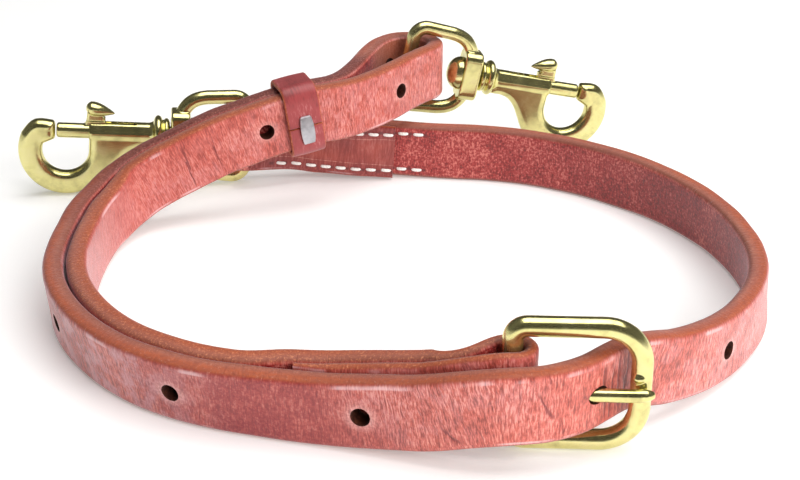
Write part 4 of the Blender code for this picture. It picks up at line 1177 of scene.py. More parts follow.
def crease_lines(along, spread, streak):
    """Give the bend lines beside the tongue, on the front and along the upper run, which the strap sinks and
    darkens with painted shade.
    """
    tongue = float(ROUTE.distance[tongue_hole_row()])
    inner = float(ROUTE.distance[ROUTE.inner_start]) - tongue
    # distance from the tongue's hole, slant along the strap per metre across it, half width,
    # lower and upper end
    lines = (
        (-0.0050, 0.05, 0.00035, 0.001, 0.018),
        (-0.0078, -0.04, 0.00030, 0.000, 0.017),
        (-0.0104, 0.06, 0.00035, 0.002, 0.019),
        (-0.0132, -0.05, 0.00025, 0.004, 0.019),
        (0.0105, 0.42, 0.00030, 0.0067, 0.0147),
        (0.0371, 0.60, 0.00030, 0.0008, 0.0062),
        (inner + 0.0400, -0.05, 0.00014, 0.003, 0.015),
        (inner + 0.0500, -0.10, 0.00022, 0.001, 0.018),
    )
    total = 0.0
    for ahead, slant, half, low, high in lines:
        offset = abs(along - (tongue + ahead) - (spread - 0.0095) * slant + (streak - 0.5) * 0.0008)
        total = total + (1 - offset.rise(half * 0.4, half * 2.2)) * spread.band(low, high, 0.0015)
    return total


def keeper_leather(look):
    """Smooth keeper leather, purplish red, with tan edges and fine cross lines."""
    finish = Finish("keeper_leather")
    along, around = finish.lay()
    place = finish.places()
    spread = around * 0.030
    flat = finish.add("ShaderNodeCombineXYZ", None, {0: along * 0.25, 1: spread, 2: 0.0})
    line = finish.noise(flat, 1500.0, 3.0, 0.6)
    blotch = finish.noise(place, 130.0, 3.0, 0.6)
    edge = edge_mask(around)
    tone = line * 0.60 + blotch * 0.75 - 0.17
    outer = finish.ramp(tone, ((0.30, shade(look.keeper, 0.55)), (0.48, shade(look.keeper, 0.90)),
                               (0.60, look.keeper), (0.78, tint(look.keeper, (0.72, 0.36, 0.36), 0.6))))
    fibre = finish.noise(place, 1500.0, 3.0, 0.7)
    cut = finish.ramp(fibre, ((0.30, shade(look.cut_edge, 0.50)), (0.55, look.cut_edge),
                              (0.75, tint(look.cut_edge, (0.85, 0.52, 0.34), 0.5))))
    colour = finish.mix(edge, outer, cut)
    normal = finish.bump(line * 0.5 + fibre * edge, 0.00015, 0.5)
    fixed = {"Specular IOR Level": 0.5, "Sheen Weight": 0.10, "Sheen Roughness": 0.4}
    return finish.done(colour, 0.34 + blotch * 0.15 + edge * 0.2, normal, **fixed)


def hole_leather():
    """Near-black leather inside the punched holes: dark fibres with painted shade of the hole walls."""
    finish = Finish("hole_leather")
    place = finish.places()
    fibre = finish.noise(place, 1100.0, 4.0, 0.7)
    colour = finish.ramp(fibre, ((0.30, (0.018, 0.005, 0.004)), (0.60, (0.070, 0.020, 0.011)),
                                 (0.80, (0.17, 0.055, 0.030))))
    return finish.done(colour, 0.75 + fibre * 0.1, finish.bump(fibre, 0.0002, 0.6))


def waxed_thread(look):
    """White waxed thread with soil marks and the twist of its plies, with painted shade in the grooves
    between them.
    """
    finish = Finish("waxed_thread")
    place = finish.places()
    turn = finish.add("ShaderNodeMapping", None, {"Vector": place, "Rotation": (0.5, 0.4, 0.6)})
    settings = {"wave_type": "BANDS", "bands_direction": "X"}
    ply = finish.add("ShaderNodeTexWave", settings, {"Vector": turn, "Scale": 420.0, "Distortion": 1.5}, 1)
    soil = finish.noise(place, 300.0, 3.0)
    colour = finish.mix(soil.rise(0.45, 0.75) * 0.35, look.colour, shade(look.colour, 0.72))
    # painted shade in the grooves between the plies
    colour = finish.mix((1 - ply) * 0.18, colour, shade(look.colour, 0.60))
    return finish.done(colour, 0.48 + soil * 0.2, finish.bump(ply, 0.00012, 0.6), **{"Sheen Weight": 0.15})


def polished_brass(look):
    """Polished brass with soft casting waves, fine polishing lines and a little tarnish, made only once."""
    name = "martingale_brass"
    if name in bpy.data.materials:
        return bpy.data.materials[name]
    finish = Finish(name)
    place = finish.places()
    tarnish = finish.noise(place, 210.0, 4.0, 0.6)
    wave = finish.noise(place, 120.0, 2.0, 0.5)
    line = finish.noise(finish.stretched(place, (0.18, 1.0, 1.0)), 2600.0, 2.0, 0.6)
    colour = finish.ramp(tarnish, ((0.28, tint(shade(look.colour, 0.82), (0.42, 0.36, 0.16), 0.3)),
                                   (0.50, look.colour), (0.75, tint(look.colour, (0.98, 0.88, 0.58), 0.25))))
    roughness = look.roughness + tarnish.rise(0.50, 0.80) * 0.10 + line * 0.05
    normal = finish.bump(wave, 0.00022, 0.10)
    normal = finish.bump(line, 0.00002, 0.35, normal)
    return finish.done(colour, roughness, normal, Metallic=0.95)


def staple_metal():
    """Dull grey staple metal with rolling lines."""
    finish = Finish("staple_metal")
    place = finish.places()
    line = finish.noise(finish.stretched(place, (1.0, 1.0, 0.15)), 2800.0, 3.0, 0.6)
    mottle = finish.noise(place, 420.0, 3.0, 0.6)
    colour = finish.ramp(mottle, ((0.30, (0.40, 0.40, 0.43)), (0.65, (0.58, 0.58, 0.61))))
    return finish.done(colour, 0.30 + mottle * 0.18, finish.bump(line, 0.00004, 0.4), Metallic=0.9)


def spring_metal():
    """Bright drawn spring wire."""
    finish = Finish("spring_metal")
    place = finish.places()
    mottle = finish.noise(place, 900.0, 2.0)
    colour = finish.ramp(mottle, ((0.35, (0.36, 0.36, 0.37)), (0.65, (0.60, 0.60, 0.61))))
    return finish.done(colour, 0.25 + mottle * 0.15, finish.bump(mottle, 0.00002, 0.3), Metallic=1.0)


# Geometry Nodes trees

class NodeTree:
    """A Geometry Nodes tree whose nodes are added one by one."""

    def __init__(self, name, inputs):
        self.tree = bpy.data.node_groups.new(name, "GeometryNodeTree")
        face = self.tree.interface
        face.new_socket("Geometry", in_out="INPUT", socket_type="NodeSocketGeometry")
        for label, kind in inputs:
            face.new_socket(label, in_out="INPUT", socket_type=kind)
        face.new_socket("Geometry", in_out="OUTPUT", socket_type="NodeSocketGeometry")
        self.given = self.tree.nodes.new("NodeGroupInput").outputs
        self.result = self.tree.nodes.new("NodeGroupOutput").inputs

    def add(self, kind, settings=None, sockets=None, output=0):
        """Add a node, set it up, feed its sockets with values or links, and give one of its outputs."""
        node = self.tree.nodes.new(kind)
        for key, value in (settings or {}).items():
            setattr(node, key, value)
        for key, value in (sockets or {}).items():
            if isinstance(value, bpy.types.NodeSocket):
                self.tree.links.new(value, node.inputs[key])
            else:
                node.inputs[key].default_value = value
        return node.outputs[output]

    def maths(self, operation, first, second=0.0):
        """Work out one operation on two numbers."""
        return self.add("ShaderNodeMath", {"operation": operation}, {0: first, 1: second})

    def finish(self, geometry):
        """End the tree in real faces with the material that it was given."""
        real = self.add("GeometryNodeRealizeInstances", None, {0: geometry})
        soft = self.add("GeometryNodeSetShadeSmooth", None, {0: real})
        sockets = {"Geometry": soft, "Material": self.given["Material"]}
        coated = self.add("GeometryNodeSetMaterial", None, sockets)
        self.tree.links.new(coated, self.result[0])

    def run(self, data, values):
        """Work the tree out on a mesh and give the result as a plain mesh."""
        holder = hold(data)
        step = holder.modifiers.new("tree", "NODES")
        step.node_group = self.tree
        for item in self.tree.interface.items_tree:
            if item.in_out == "INPUT" and item.name in values:
                step[item.identifier] = values[item.name]
        return settled(holder)


def marked_points(places, firsts, seconds):
    """Make a mesh of loose points that carry two directions each."""
    data = bpy.data.meshes.new("points")
    data.from_pydata([tuple(p) for p in places], [], [])
    for name, rows in (("first", firsts), ("second", seconds)):
        layer = data.attributes.new(name, "FLOAT_VECTOR", "POINT")
        layer.data.foreach_set("vector", np.array([tuple(r) for r in rows], np.float32).ravel())
    return data


def set_on_points(nodes, shape, first_axis, second_axis):
    """Set a shape on every point, with two of its axes along the directions that the points carry."""
    first = nodes.add("GeometryNodeInputNamedAttribute", {"data_type": "FLOAT_VECTOR"}, {"Name": "first"})
    second = nodes.add("GeometryNodeInputNamedAttribute", {"data_type": "FLOAT_VECTOR"}, {"Name": "second"})
    settings = {"primary_axis": first_axis, "secondary_axis": second_axis}
    turn = nodes.add("FunctionNodeAxesToRotation", settings, {0: first, 1: second})
    points = nodes.add("GeometryNodeMeshToPoints", None, {"Mesh": nodes.given["Geometry"]})
    sockets = {"Points": points, "Instance": shape, "Rotation": turn}
    return nodes.add("GeometryNodeInstanceOnPoints", None, sockets)


def stitch_tree():
    """Lay one rounded stitch, sunk at its ends, on every point."""
    inputs = (("Length", "NodeSocketFloat"), ("Diameter", "NodeSocketFloat"),
              ("Material", "NodeSocketMaterial"))
    nodes = NodeTree("stitches", inputs)
    half = nodes.maths("MULTIPLY", nodes.given["Length"], 0.5)
    back = nodes.maths("MULTIPLY", nodes.given["Length"], -0.5)
    start = nodes.add("ShaderNodeCombineXYZ", None, {0: back})
    end = nodes.add("ShaderNodeCombineXYZ", None, {0: half})
    line = nodes.add("GeometryNodeCurvePrimitiveLine", None, {"Start": start, "End": end})
    line = nodes.add("GeometryNodeResampleCurve", None, {"Curve": line, "Count": 12})
    share = nodes.add("GeometryNodeSplineParameter")
    ahead = nodes.maths("SUBTRACT", nodes.maths("MULTIPLY", share, 2.0), 1.0)
    square = nodes.maths("MULTIPLY", ahead, ahead)
    fourth = nodes.maths("MULTIPLY", square, square)
    round_end = nodes.maths("POWER", nodes.maths("SUBTRACT", 1.0, fourth), 0.5)
    radius = nodes.maths("MULTIPLY", nodes.maths("MULTIPLY", nodes.given["Diameter"], 0.5), round_end)
    sink = nodes.maths("MULTIPLY", nodes.maths("MULTIPLY", nodes.given["Diameter"], -0.45), square)
    sunk = nodes.add("ShaderNodeCombineXYZ", None, {2: sink})
    line = nodes.add("GeometryNodeSetPosition", None, {"Geometry": line, "Offset": sunk})
    circle = nodes.add("GeometryNodeCurvePrimitiveCircle", None, {"Resolution": 10, "Radius": 1.0})
    sockets = {"Curve": line, "Profile Curve": circle, "Scale": radius}
    stitch = nodes.add("GeometryNodeCurveToMesh", None, sockets)
    nodes.finish(set_on_points(nodes, stitch, "X", "Z"))
    return nodes


def punch_tree():
    """Stand one punch with flared ends on every point, for the adjusting holes."""
    inputs = (("Diameter", "NodeSocketFloat"), ("Depth", "NodeSocketFloat"), ("Flare", "NodeSocketFloat"),
              ("Material", "NodeSocketMaterial"))
    nodes = NodeTree("punches", inputs)
    radius = nodes.maths("MULTIPLY", nodes.given["Diameter"], 0.5)
    sockets = {"Vertices": 40, "Side Segments": 16, "Radius": radius, "Depth": nodes.given["Depth"]}
    punch = nodes.add("GeometryNodeMeshCylinder", None, sockets)
    place = nodes.add("GeometryNodeInputPosition")
    height = nodes.add("ShaderNodeSeparateXYZ", None, {0: place}, 2)
    reach = nodes.maths("DIVIDE", nodes.maths("ABSOLUTE", height), nodes.given["Depth"])
    growth = nodes.maths("POWER", nodes.maths("MULTIPLY", reach, 2.0), 6)
    flare = nodes.maths("MULTIPLY", nodes.given["Flare"], growth)
    flat = nodes.add("ShaderNodeVectorMath", {"operation": "MULTIPLY"}, {0: place, 1: (1.0, 1.0, 0.0)})
    offset = nodes.add("ShaderNodeVectorMath", {"operation": "SCALE"}, {0: flat, "Scale": flare})
    punch = nodes.add("GeometryNodeSetPosition", None, {"Geometry": punch, "Offset": offset})
    nodes.finish(set_on_points(nodes, punch, "Z", "X"))
    return nodes


def wire_tree():
    """Run a round wire along a path, thicker or thinner as its points say."""
    inputs = (("Diameter", "NodeSocketFloat"), ("Sides", "NodeSocketInt"),
              ("Material", "NodeSocketMaterial"))
    nodes = NodeTree("wire", inputs)
    path = nodes.add("GeometryNodeMeshToCurve", None, {"Mesh": nodes.given["Geometry"]})
    share = nodes.add("GeometryNodeInputNamedAttribute", {"data_type": "FLOAT"}, {"Name": "share"})
    radius = nodes.maths("MULTIPLY", nodes.maths("MULTIPLY", nodes.given["Diameter"], 0.5), share)
    circle = nodes.add("GeometryNodeCurvePrimitiveCircle", None,
                       {"Resolution": nodes.given["Sides"], "Radius": 1.0})
    sockets = {"Curve": path, "Profile Curve": circle, "Scale": radius, "Fill Caps": True}
    nodes.finish(nodes.add("GeometryNodeCurveToMesh", None, sockets))
    return nodes


def wire(nodes, points, diameter, closed, shares=None, sides=32):
    """Make a wire mesh along points, each with its share of the diameter."""
    data = bpy.data.meshes.new("path")
    edges = [(i, i + 1) for i in range(len(points) - 1)]
    if closed:
        edges.append((len(points) - 1, 0))
    data.from_pydata([tuple(p) for p in points], edges, [])
    if shares is None:
        shares = np.ones(len(points))
    layer = data.attributes.new("share", "FLOAT", "POINT")
    layer.data.foreach_set("value", np.array(shares, np.float32))
    made = nodes.run(data, {"Diameter": diameter, "Sides": sides})
    made.materials.clear()
    return merged(made)


# Operators, one for each piece or group of like pieces

class MARTINGALE_OT_strap(bpy.types.Operator):
    """Lay the leather strap along its route and punch its holes"""

    bl_idname = "martingale.strap"
    bl_label = "Strap"

    def execute(self, context):
        look = context.scene.martingale_leather
        data = strip_mesh(ROUTE.middle, ROUTE.side, ROUTE.up, ROUTE.thickness, WIDTH, ROUTE.distance,
                          look.edge_rounding, crown=-STRAP_HOLLOW, rough=STRAP_ROUGHNESS)
        data.materials.append(strap_leather(look))
        # the holes and the tongue's slot are lined with near-black leather that paints their shade
        inside = hole_leather()
        rows = hole_rows()
        points = marked_points(ROUTE.middle[rows], ROUTE.side[rows], ROUTE.along[rows])
        values = {"Diameter": look.hole_diameter, "Depth": THICKNESS + LAYER_GAP, "Flare": HOLE_FLARE,
                  "Material": inside}
        punches = punch_tree().run(points, values)
        tall = TONGUE_HEIGHT / 2 + TONGUE_PLAY
        slot = round_bar(BUCKLE_WIRE / 2 + 2 * SEAT_GAP + FOLD_THICKNESS, -tall, tall, 40)
        slot.transform(TONGUE_PLACE @ Matrix.Rotation(-math.pi / 2, 4, "Y"))
        passage = round_bar(TONGUE_DIAMETER / 2 + TONGUE_PLAY, 0, BUCKLE_LENGTH, 32)
        passage.transform(BUCKLE_PLACE @ Matrix.Translation((0, TONGUE_SIDE, TONGUE_DROP)))
        for cutter in (slot, passage):
            cutter.materials.append(inside)
        strap = carved(hold(data), (punches, slot, passage), "TRANSFER")
        strap.shade_smooth()
        strap.set_sharp_from_angle(angle=math.radians(50))
        add_piece("strap_leather", strap, "strap", ("strap",))
        return {"FINISHED"}


class MARTINGALE_OT_stitching(bpy.types.Operator):
    """Sew the saddle stitches of both ends"""

    bl_idname = "martingale.stitching"
    bl_label = "Stitching"

    def execute(self, context):
        look = context.scene.martingale_thread
        material = waxed_thread(look)
        run = ROUTE.run
        snap_rows = self.rows(look, STITCH_START, SNAP_STITCHES)
        buckle_rows = self.rows(look, run.bar + (STITCH_START + look.pitch), BUCKLE_STITCHES)
        back_end = SNAP_RETURN + 0.001

        def snap_outer(at):
            return 0.0, 1

        def snap_inner(at):
            if at > back_end:
                return float(ROUTE.outer_thickness(at)), -1
            return float(ROUTE.snap_return_face(at) + ROUTE.return_thickness(at, SNAP_RETURN)), -1

        def buckle_outer(at):
            return THICKNESS + STITCH_GAP, 1

        def buckle_inner(at):
            return float(ROUTE.inner_face(at) + ROUTE.inner_thickness(at)), -1

        layers = (
            ("snap_end", "outer", snap_rows, snap_outer),
            ("snap_end", "inner", snap_rows, snap_inner),
            ("buckle_end", "outer", buckle_rows, buckle_outer),
            ("buckle_end", "inner", buckle_rows, buckle_inner),
        )
        values = {"Length": look.length, "Diameter": look.diameter, "Material": material}
        tree = stitch_tree()
        for end, face, rows, layer in layers:
            for level, sign in (("upper", 1), ("lower", -1)):
                height = sign * (WIDTH / 2 - look.from_edge)
                spots = [self.spot(at, *layer(at), height, look) for at in rows]
                data = tree.run(marked_points(*zip(*spots)), values)
                node = f"{end}_thread_{face}_{level}"
                add_piece(f"stitches_{end}_{face}_{level}", data, "strap", (node,))
        return {"FINISHED"}

    def rows(self, look, start, count):
        """List the middles of a row's stitches along the outer run."""
        return [start + (number + 0.5) * look.pitch for number in range(count)]

    def spot(self, at, depth, outward, height, look):
        """Give a stitch's middle, its direction along the strap and the direction out of the leather."""
        run = ROUTE.run
        at = np.array(at)
        inward = run.inward(at)
        lean = float(run.lean(at))
        lift = ROUTE.sewn_lift
        climb = float(lift(at + DENSE_STEP) - lift(at - DENSE_STEP)) / (2 * DENSE_STEP)
        level_side = Vector((*-inward, 0))
        along = Vector((-inward[1], inward[0], climb)).normalized()
        tilted = along.cross(level_side)
        up = tilted * math.cos(lean) + level_side * math.sin(lean)
        side = level_side * math.cos(lean) - tilted * math.sin(lean)
        rise = WIDTH / 2 * math.cos(lean)
        middle = Vector((*(run.face(at) + inward * depth), float(lift(at)))) + tilted * rise
        return middle + side * outward * look.diameter * 0.22 + up * height, along, side * outward


class MARTINGALE_OT_keeper(bpy.types.Operator):
    """Wrap the sliding keeper round the doubled strap and close it with its staple"""

    bl_idname = "martingale.keeper"
    bl_label = "Keeper"

    def execute(self, context):
        look = context.scene.martingale_leather
        place = keeper_place()
        depth = 2 * THICKNESS + LAYER_GAP + 2 * KEEPER_PLAY + KEEPER_THICKNESS
        height = WIDTH + 2 * KEEPER_PLAY + KEEPER_THICKNESS
        ring = self.open_ring(depth, height)
        steps = np.linalg.norm(np.diff(ring, axis=0), axis=1)
        distance = np.concatenate(([0.0], np.cumsum(steps)))
        even = np.linspace(0, distance[-1], 170)
        ring = np.stack([np.interp(even, distance, ring[:, k]) for k in (0, 1)], -1)
        along = np.gradient(ring, axis=0)
        along /= np.linalg.norm(along, axis=1, keepdims=True)
        zero = np.zeros(len(ring))
        middle = np.column_stack((zero, ring))
        side = np.column_stack((zero, along[:, 1], -along[:, 0]))
        up = np.column_stack((zero + 1, zero, zero))
        thickness = np.full(len(ring), KEEPER_THICKNESS)
        band = strip_mesh(middle, side, up, thickness, KEEPER_LENGTH, even, KEEPER_ROUNDING,
                          crown=KEEPER_CROWN, rough=KEEPER_ROUGHNESS)
        band.materials.append(keeper_leather(look))
        add_piece("keeper_leather", band, "keeper", ("keeper_band",), place)

        near = -(depth + KEEPER_THICKNESS) / 2
        staple = self.staple(near)
        staple.materials.append(staple_metal())
        add_piece("keeper_staple_plate", staple, "keeper", ("keeper_staple",), place)
        return {"FINISHED"}

    def open_ring(self, depth, height):
        """List the middle of the band round the strap, from under the seam on the near side to above it."""
        steps = 14
        points = rounded_rectangle(depth, height, KEEPER_CORNER, steps)
        first = (-depth / 2, -SEAM_DROP - KEEPER_SEAM / 2)
        last = (-depth / 2, -SEAM_DROP + KEEPER_SEAM / 2)
        return np.array([first] + points[2 * steps:] + points[:2 * steps] + [last])

    def staple(self, near):
        """Bow a barrel-shaped plate over the seam, with its two legs in the leather."""
        half = STAPLE_HEIGHT / 2
        outline = []
        for sign in (1, -1):
            for t in np.linspace(-0.94, 0.94, 15):
                width = STAPLE_WIDTH / 2 * (1 - 0.26 * abs(t) ** 2.6)
                outline.append((sign * width, sign * t * half))
        crown = plate(outline, STAPLE_THICKNESS, STAPLE_ROUNDING)
        for vertex in crown.vertices:
            t = vertex.co.z / half
            vertex.co.y -= STAPLE_BOW * (1 - t * t)
        crown.transform(Matrix.Translation((0, near - SEAT_GAP - STAPLE_THICKNESS / 2, -STAPLE_DROP)))
        legs = []
        for sign in (1, -1):
            middle = sign * (half - STAPLE_THICKNESS * 0.7) - STAPLE_DROP
            tall = STAPLE_THICKNESS / 2
            legs.append(box((-STAPLE_WIDTH * 0.33, near - SEAT_GAP - tall, middle - tall),
                            (STAPLE_WIDTH * 0.33, near + KEEPER_THICKNESS * 0.7, middle + tall)))
        return cast([crown, *legs], [], 0.00009, 3)


class MARTINGALE_OT_buckle(bpy.types.Operator):
    """Cast the brass buckle frame and its tongue"""

    bl_idname = "martingale.buckle"
    bl_label = "Buckle"

    def execute(self, context):
        look = context.scene.martingale_brass
        brass = polished_brass(look)
        tree = wire_tree()
        half = (BUCKLE_OPENING + BUCKLE_WIRE) / 2
        heel = BUCKLE_HEEL_CORNER
        toe = BUCKLE_CORNER
        top = arc((BUCKLE_LENGTH - toe, half - toe), toe, 90, 0, 24)
        low = arc((BUCKLE_LENGTH - toe, toe - half), toe, 0, -90, 24)
        rear_low = arc((heel, heel - half), heel, -90, -180, 14)
        rear_top = arc((heel, half - heel), heel, 180, 90, 14)
        outline = top + self.between(top[-1], low[0]) + low + self.between(low[-1], rear_low[0]) + rear_low
        outline += self.between(rear_low[-1], rear_top[0]) + rear_top + self.between(rear_top[-1], top[0])
        shares = [1.0 + 0.04 * max(0.0, x / BUCKLE_LENGTH - 0.5) for x, z in outline]
        ring = wire(tree, [(x, 0, z) for x, z in outline], BUCKLE_WIRE, True, shares, 40)
        angles = np.linspace(0, math.pi, 13)
        nib = turned([(NIB_RADIUS * math.sin(a), -NIB_REACH * math.cos(a)) for a in angles], 24)
        nib.transform(Matrix.Translation((BUCKLE_LENGTH - 0.0008, -BUCKLE_WIRE * 0.36,
                                          TONGUE_DROP + TONGUE_DIAMETER * 0.92)))
        buckle = cast([ring, nib], [], look.casting_detail, 5)
        buckle.materials.append(brass)
        add_piece("buckle_frame_brass", buckle, "strap", ("buckle_frame",), BUCKLE_PLACE)

        inside = BUCKLE_WIRE / 2 + SEAT_GAP
        outside = inside + TONGUE_LOOP_WALL
        tall = TONGUE_HEIGHT / 2
        section = ((inside, -tall), (outside, -tall), (outside, tall), (inside, tall), (inside, -tall))
        loop = turned(section, 48)
        loop.transform(Matrix.Rotation(-math.pi / 2, 4, "Y"))
        tip = BUCKLE_LENGTH + BUCKLE_WIRE / 2
        stations = ((0.0, 1.0), (0.55, 1.0), (0.80, 1.0), (0.90, 0.98), (0.96, 0.88), (1.0, 0.55))
        at = np.linspace(0, 1, 40)
        share = np.interp(at, [s[0] for s in stations], [s[1] for s in stations])
        path = [(tip * t, TONGUE_SIDE - TONGUE_DIAMETER / 2 * (r - 1.0), 0) for t, r in zip(at, share)]
        shaft = wire(tree, path, TONGUE_DIAMETER, False, share, 28)
        tongue = cast([loop, shaft], [], look.casting_detail * 0.85, 4)
        tongue.materials.append(brass)
        add_piece("buckle_tongue_brass", tongue, "tongue", ("buckle_tongue",),
                  TONGUE_PLACE)
        return {"FINISHED"}

    def between(self, first, last, count=14):
        """List points of a straight line without its two ends."""
        rows = np.linspace(first, last, count + 2)[1:-1]
        return [tuple(p) for p in rows]


class MARTINGALE_OT_snaps(bpy.types.Operator):
    """Cast the eye, rivet, body and bolt of both swivel bolt snaps, and wind their springs"""

    bl_idname = "martingale.snaps"
    bl_label = "Snaps"

    def execute(self, context):
        look = context.scene.martingale_brass
        brass = polished_brass(look)
        steel = spring_metal()
        shapes = (("swivel_eye", "eye", self.eye(look)), ("swivel_rivet", "snap", self.rivet()),
                  ("snap_body", "snap", self.body(look)), ("snap_bolt", "bolt", self.bolt(look)))
        for side, place in snap_places().items():
            for name, body, shape in shapes:
                data = shape.copy()
                data.materials.append(brass)
                node = side + "_" + name
                add_piece(node + "_brass", data, side + "_" + body, (node,), place)
            self.spring(side, place, steel)
        return {"FINISHED"}

    def spring(self, side, place, steel):
        """Wind the spring behind the bolt; the bolt presses it together when drawn back, but here it keeps
        its wound length.
        """
        share = np.linspace(0, 1, SPRING_TURNS * SPRING_TURN_STEPS + 1)
        angle = 2 * math.pi * SPRING_TURNS * share
        radius = (BOLT_DIAMETER - SPRING_WIRE) / 2
        along = SPRING_START + SPRING_WIRE / 2 + (SPRING_LENGTH - SPRING_WIRE) * share
        path = np.column_stack((along, radius * np.cos(angle), radius * np.sin(angle)))
        data = wire(wire_tree(), path, SPRING_WIRE, False, None, 12)
        data.materials.append(steel)
        node = side + "_bolt_spring"
        made = add_piece(node + "_steel", data, side + "_snap", (node,), place)
        slide = next(joint for joint in frame["joints"] if joint["name"] == side + "_bolt_slide")
        fixed_end = place @ Vector((SPRING_START, 0, 0))
        direction = place.to_3x3() @ Vector((1, 0, 0))
        keep = 1 - slide["range_m"][1] / SPRING_LENGTH
        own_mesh(made)

    def eye(self, look):
        """Bend the eye's wire round to the hub that turns on the rivet."""
        half = (EYE_OPENING + EYE_WIRE) / 2
        corner = EYE_WIRE * 0.9
        neck = HUB_HEIGHT / 2 - EYE_WIRE / 2
        hub = (HUB_START + HUB_END) / 2
        waist = half - EYE_TAPER
        reach = hub - EYE_SHOULDER
        knots = [(EYE_SHOULDER + reach * a, waist - (waist - neck) * d)
                 for a, d in ((0, 0), (0.35, 0.10), (0.62, 0.28), (0.80, 0.52), (0.93, 0.80), (1, 1))]
        upper = arc((corner, half - corner), corner, 180, 90, 16) + flowing(knots, 30)
        outline = upper + [(x, -z) for x, z in reversed(upper)]
        ring = wire(wire_tree(), [(x, 0, z) for x, z in outline], EYE_WIRE, True, None, 32)
        across = Matrix.Rotation(math.pi / 2, 4, "Z") @ Matrix.Rotation(math.pi / 2, 4, "X")
        block = plate(rounded_rectangle(HUB_WIDTH, HUB_HEIGHT, HUB_WIDTH * 0.30), HUB_LENGTH, HUB_ROUNDING,
                      Matrix.Translation((hub, 0, 0)) @ across)
        bore = round_bar(RIVET_SHANK / 2 + SEAT_GAP, HUB_START - HUB_LENGTH, HUB_END + HUB_LENGTH)
        return cast([ring, block], [bore], look.casting_detail, 7)

    def rivet(self):
        """Turn the rivet with its domed head inside the eye and its shank in the body."""
        under = HUB_START - SEAT_GAP
        radius = RIVET_HEAD / 2
        shank = RIVET_SHANK / 2
        dome = [(radius * math.cos(a), under - RIVET_HEAD_HEIGHT * math.sin(a))
                for a in np.radians(np.linspace(0, 88, 16))]
        foot = EYE_LENGTH + RIVET_SEAT
        profile = [(0, foot), (shank, foot), (shank, under)] + dome + [(0, under - RIVET_HEAD_HEIGHT)]
        data = turned(profile, 56)
        data.shade_smooth()
        data.set_sharp_from_angle(angle=math.radians(50))
        return data

    def body(self, look):
        """Cast the barrel with its beaded collar, the web under it and the hook."""
        barrel = BARREL_DIAMETER / 2
        collar = COLLAR_DIAMETER / 2
        groove = barrel + 0.20 * (collar - barrel)
        profile = [(0, BARREL_END), (barrel - EDGE_BREAK, BARREL_END), (barrel, BARREL_END - EDGE_BREAK),
                   (barrel, BARREL_START)]
        for low, high, bulge in ((1.10, 0.46, collar), (0.44, 0.02, collar * 0.86)):
            for t in np.linspace(0, 1, 12):
                distance = EYE_LENGTH + COLLAR_LENGTH * (low + (high - low) * t)
                profile.append((groove + (bulge - groove) * math.sin(math.pi * t) ** 0.5, distance))
        profile += [(groove, EYE_LENGTH), (0, EYE_LENGTH)]
        shell = turned(profile, 72)
        self.flatten_barrel(shell)
        hook = plate(self.hook_outline(), PLATE_THICKNESS, HOOK_ROUNDING)
        bore = round_bar(BOLT_DIAMETER / 2 + SEAT_GAP, EYE_LENGTH + BORE_START, BOLT_TIP)
        wide = KNOB_STEM / 2 + SLOT_PLAY
        slot = box((EYE_LENGTH + SLOT_REAR, -wide, 0), (BOLT_TIP, wide, COLLAR_DIAMETER))
        socket = round_bar(RIVET_SHANK / 2 + SEAT_GAP, HUB_START, EYE_LENGTH + RIVET_SEAT + SEAT_GAP)
        return cast([shell, hook], [bore, slot, socket], look.casting_detail, 6)

    def flatten_barrel(self, shell):
        """Give the barrel a flat on both sides, between the collar and the bolt."""
        limit = BARREL_FLAT_SHARE * BARREL_DIAMETER / 2
        for side in (1, -1):
            outward = Vector((0, side * math.sin(BARREL_FLAT_TURN), math.cos(BARREL_FLAT_TURN)))
            for vertex in shell.vertices:
                over = vertex.co.dot(outward) - limit
                if over > 0 and vertex.co.x > BARREL_FLAT_START:
                    vertex.co -= outward * over

    def hook_outline(self):
        """Draw the web under the barrel and the hook round its throat, seen from the side."""
        buried = BARREL_DIAMETER / 8
        rib_start = EYE_LENGTH + COLLAR_LENGTH
        rib_low = -BARREL_DIAMETER / 2 - RIB_DROP
        outer = arc(THROAT_CENTRE, HOOK_RADIUS, -125, 22, 60)
        foot = (THROAT_CENTRE[0] - 0.90 * HOOK_RADIUS, THROAT_CENTRE[1] - 0.62 * HOOK_RADIUS)
        underside = (
            (rib_start + 0.7 * RIB_LENGTH, rib_low),
            (rib_start + 1.1 * RIB_LENGTH, rib_low * 1.12),
            (foot[0] - 0.0012, foot[1] + 0.0016),
            (foot[0] + 0.0012, foot[1] - 0.0014),
            outer[0],
        )
        slope = flowing(underside, 26)
        web = [(rib_start, buried), (rib_start, rib_low)] + slope[:-1]
        half = HOOK_TIP_HALF
        blunt = HOOK_TIP_ROUNDING
        crown = (HOOK_TIP + 0.62 * (outer[-1][0] - HOOK_TIP), half)
        crest = flowing((outer[-1], crown, (HOOK_TIP + blunt, half)), 14)
        tip = arc((HOOK_TIP + blunt, half - blunt), blunt, 90, 180, 7)
        tip += arc((HOOK_TIP + blunt, blunt - half), blunt, 180, 250, 7)
        throat = arc(THROAT_CENTRE, THROAT_RADIUS, 18, -180, 60)
        return web + outer + crest[1:-1] + tip + throat + [(BARREL_END, buried)]

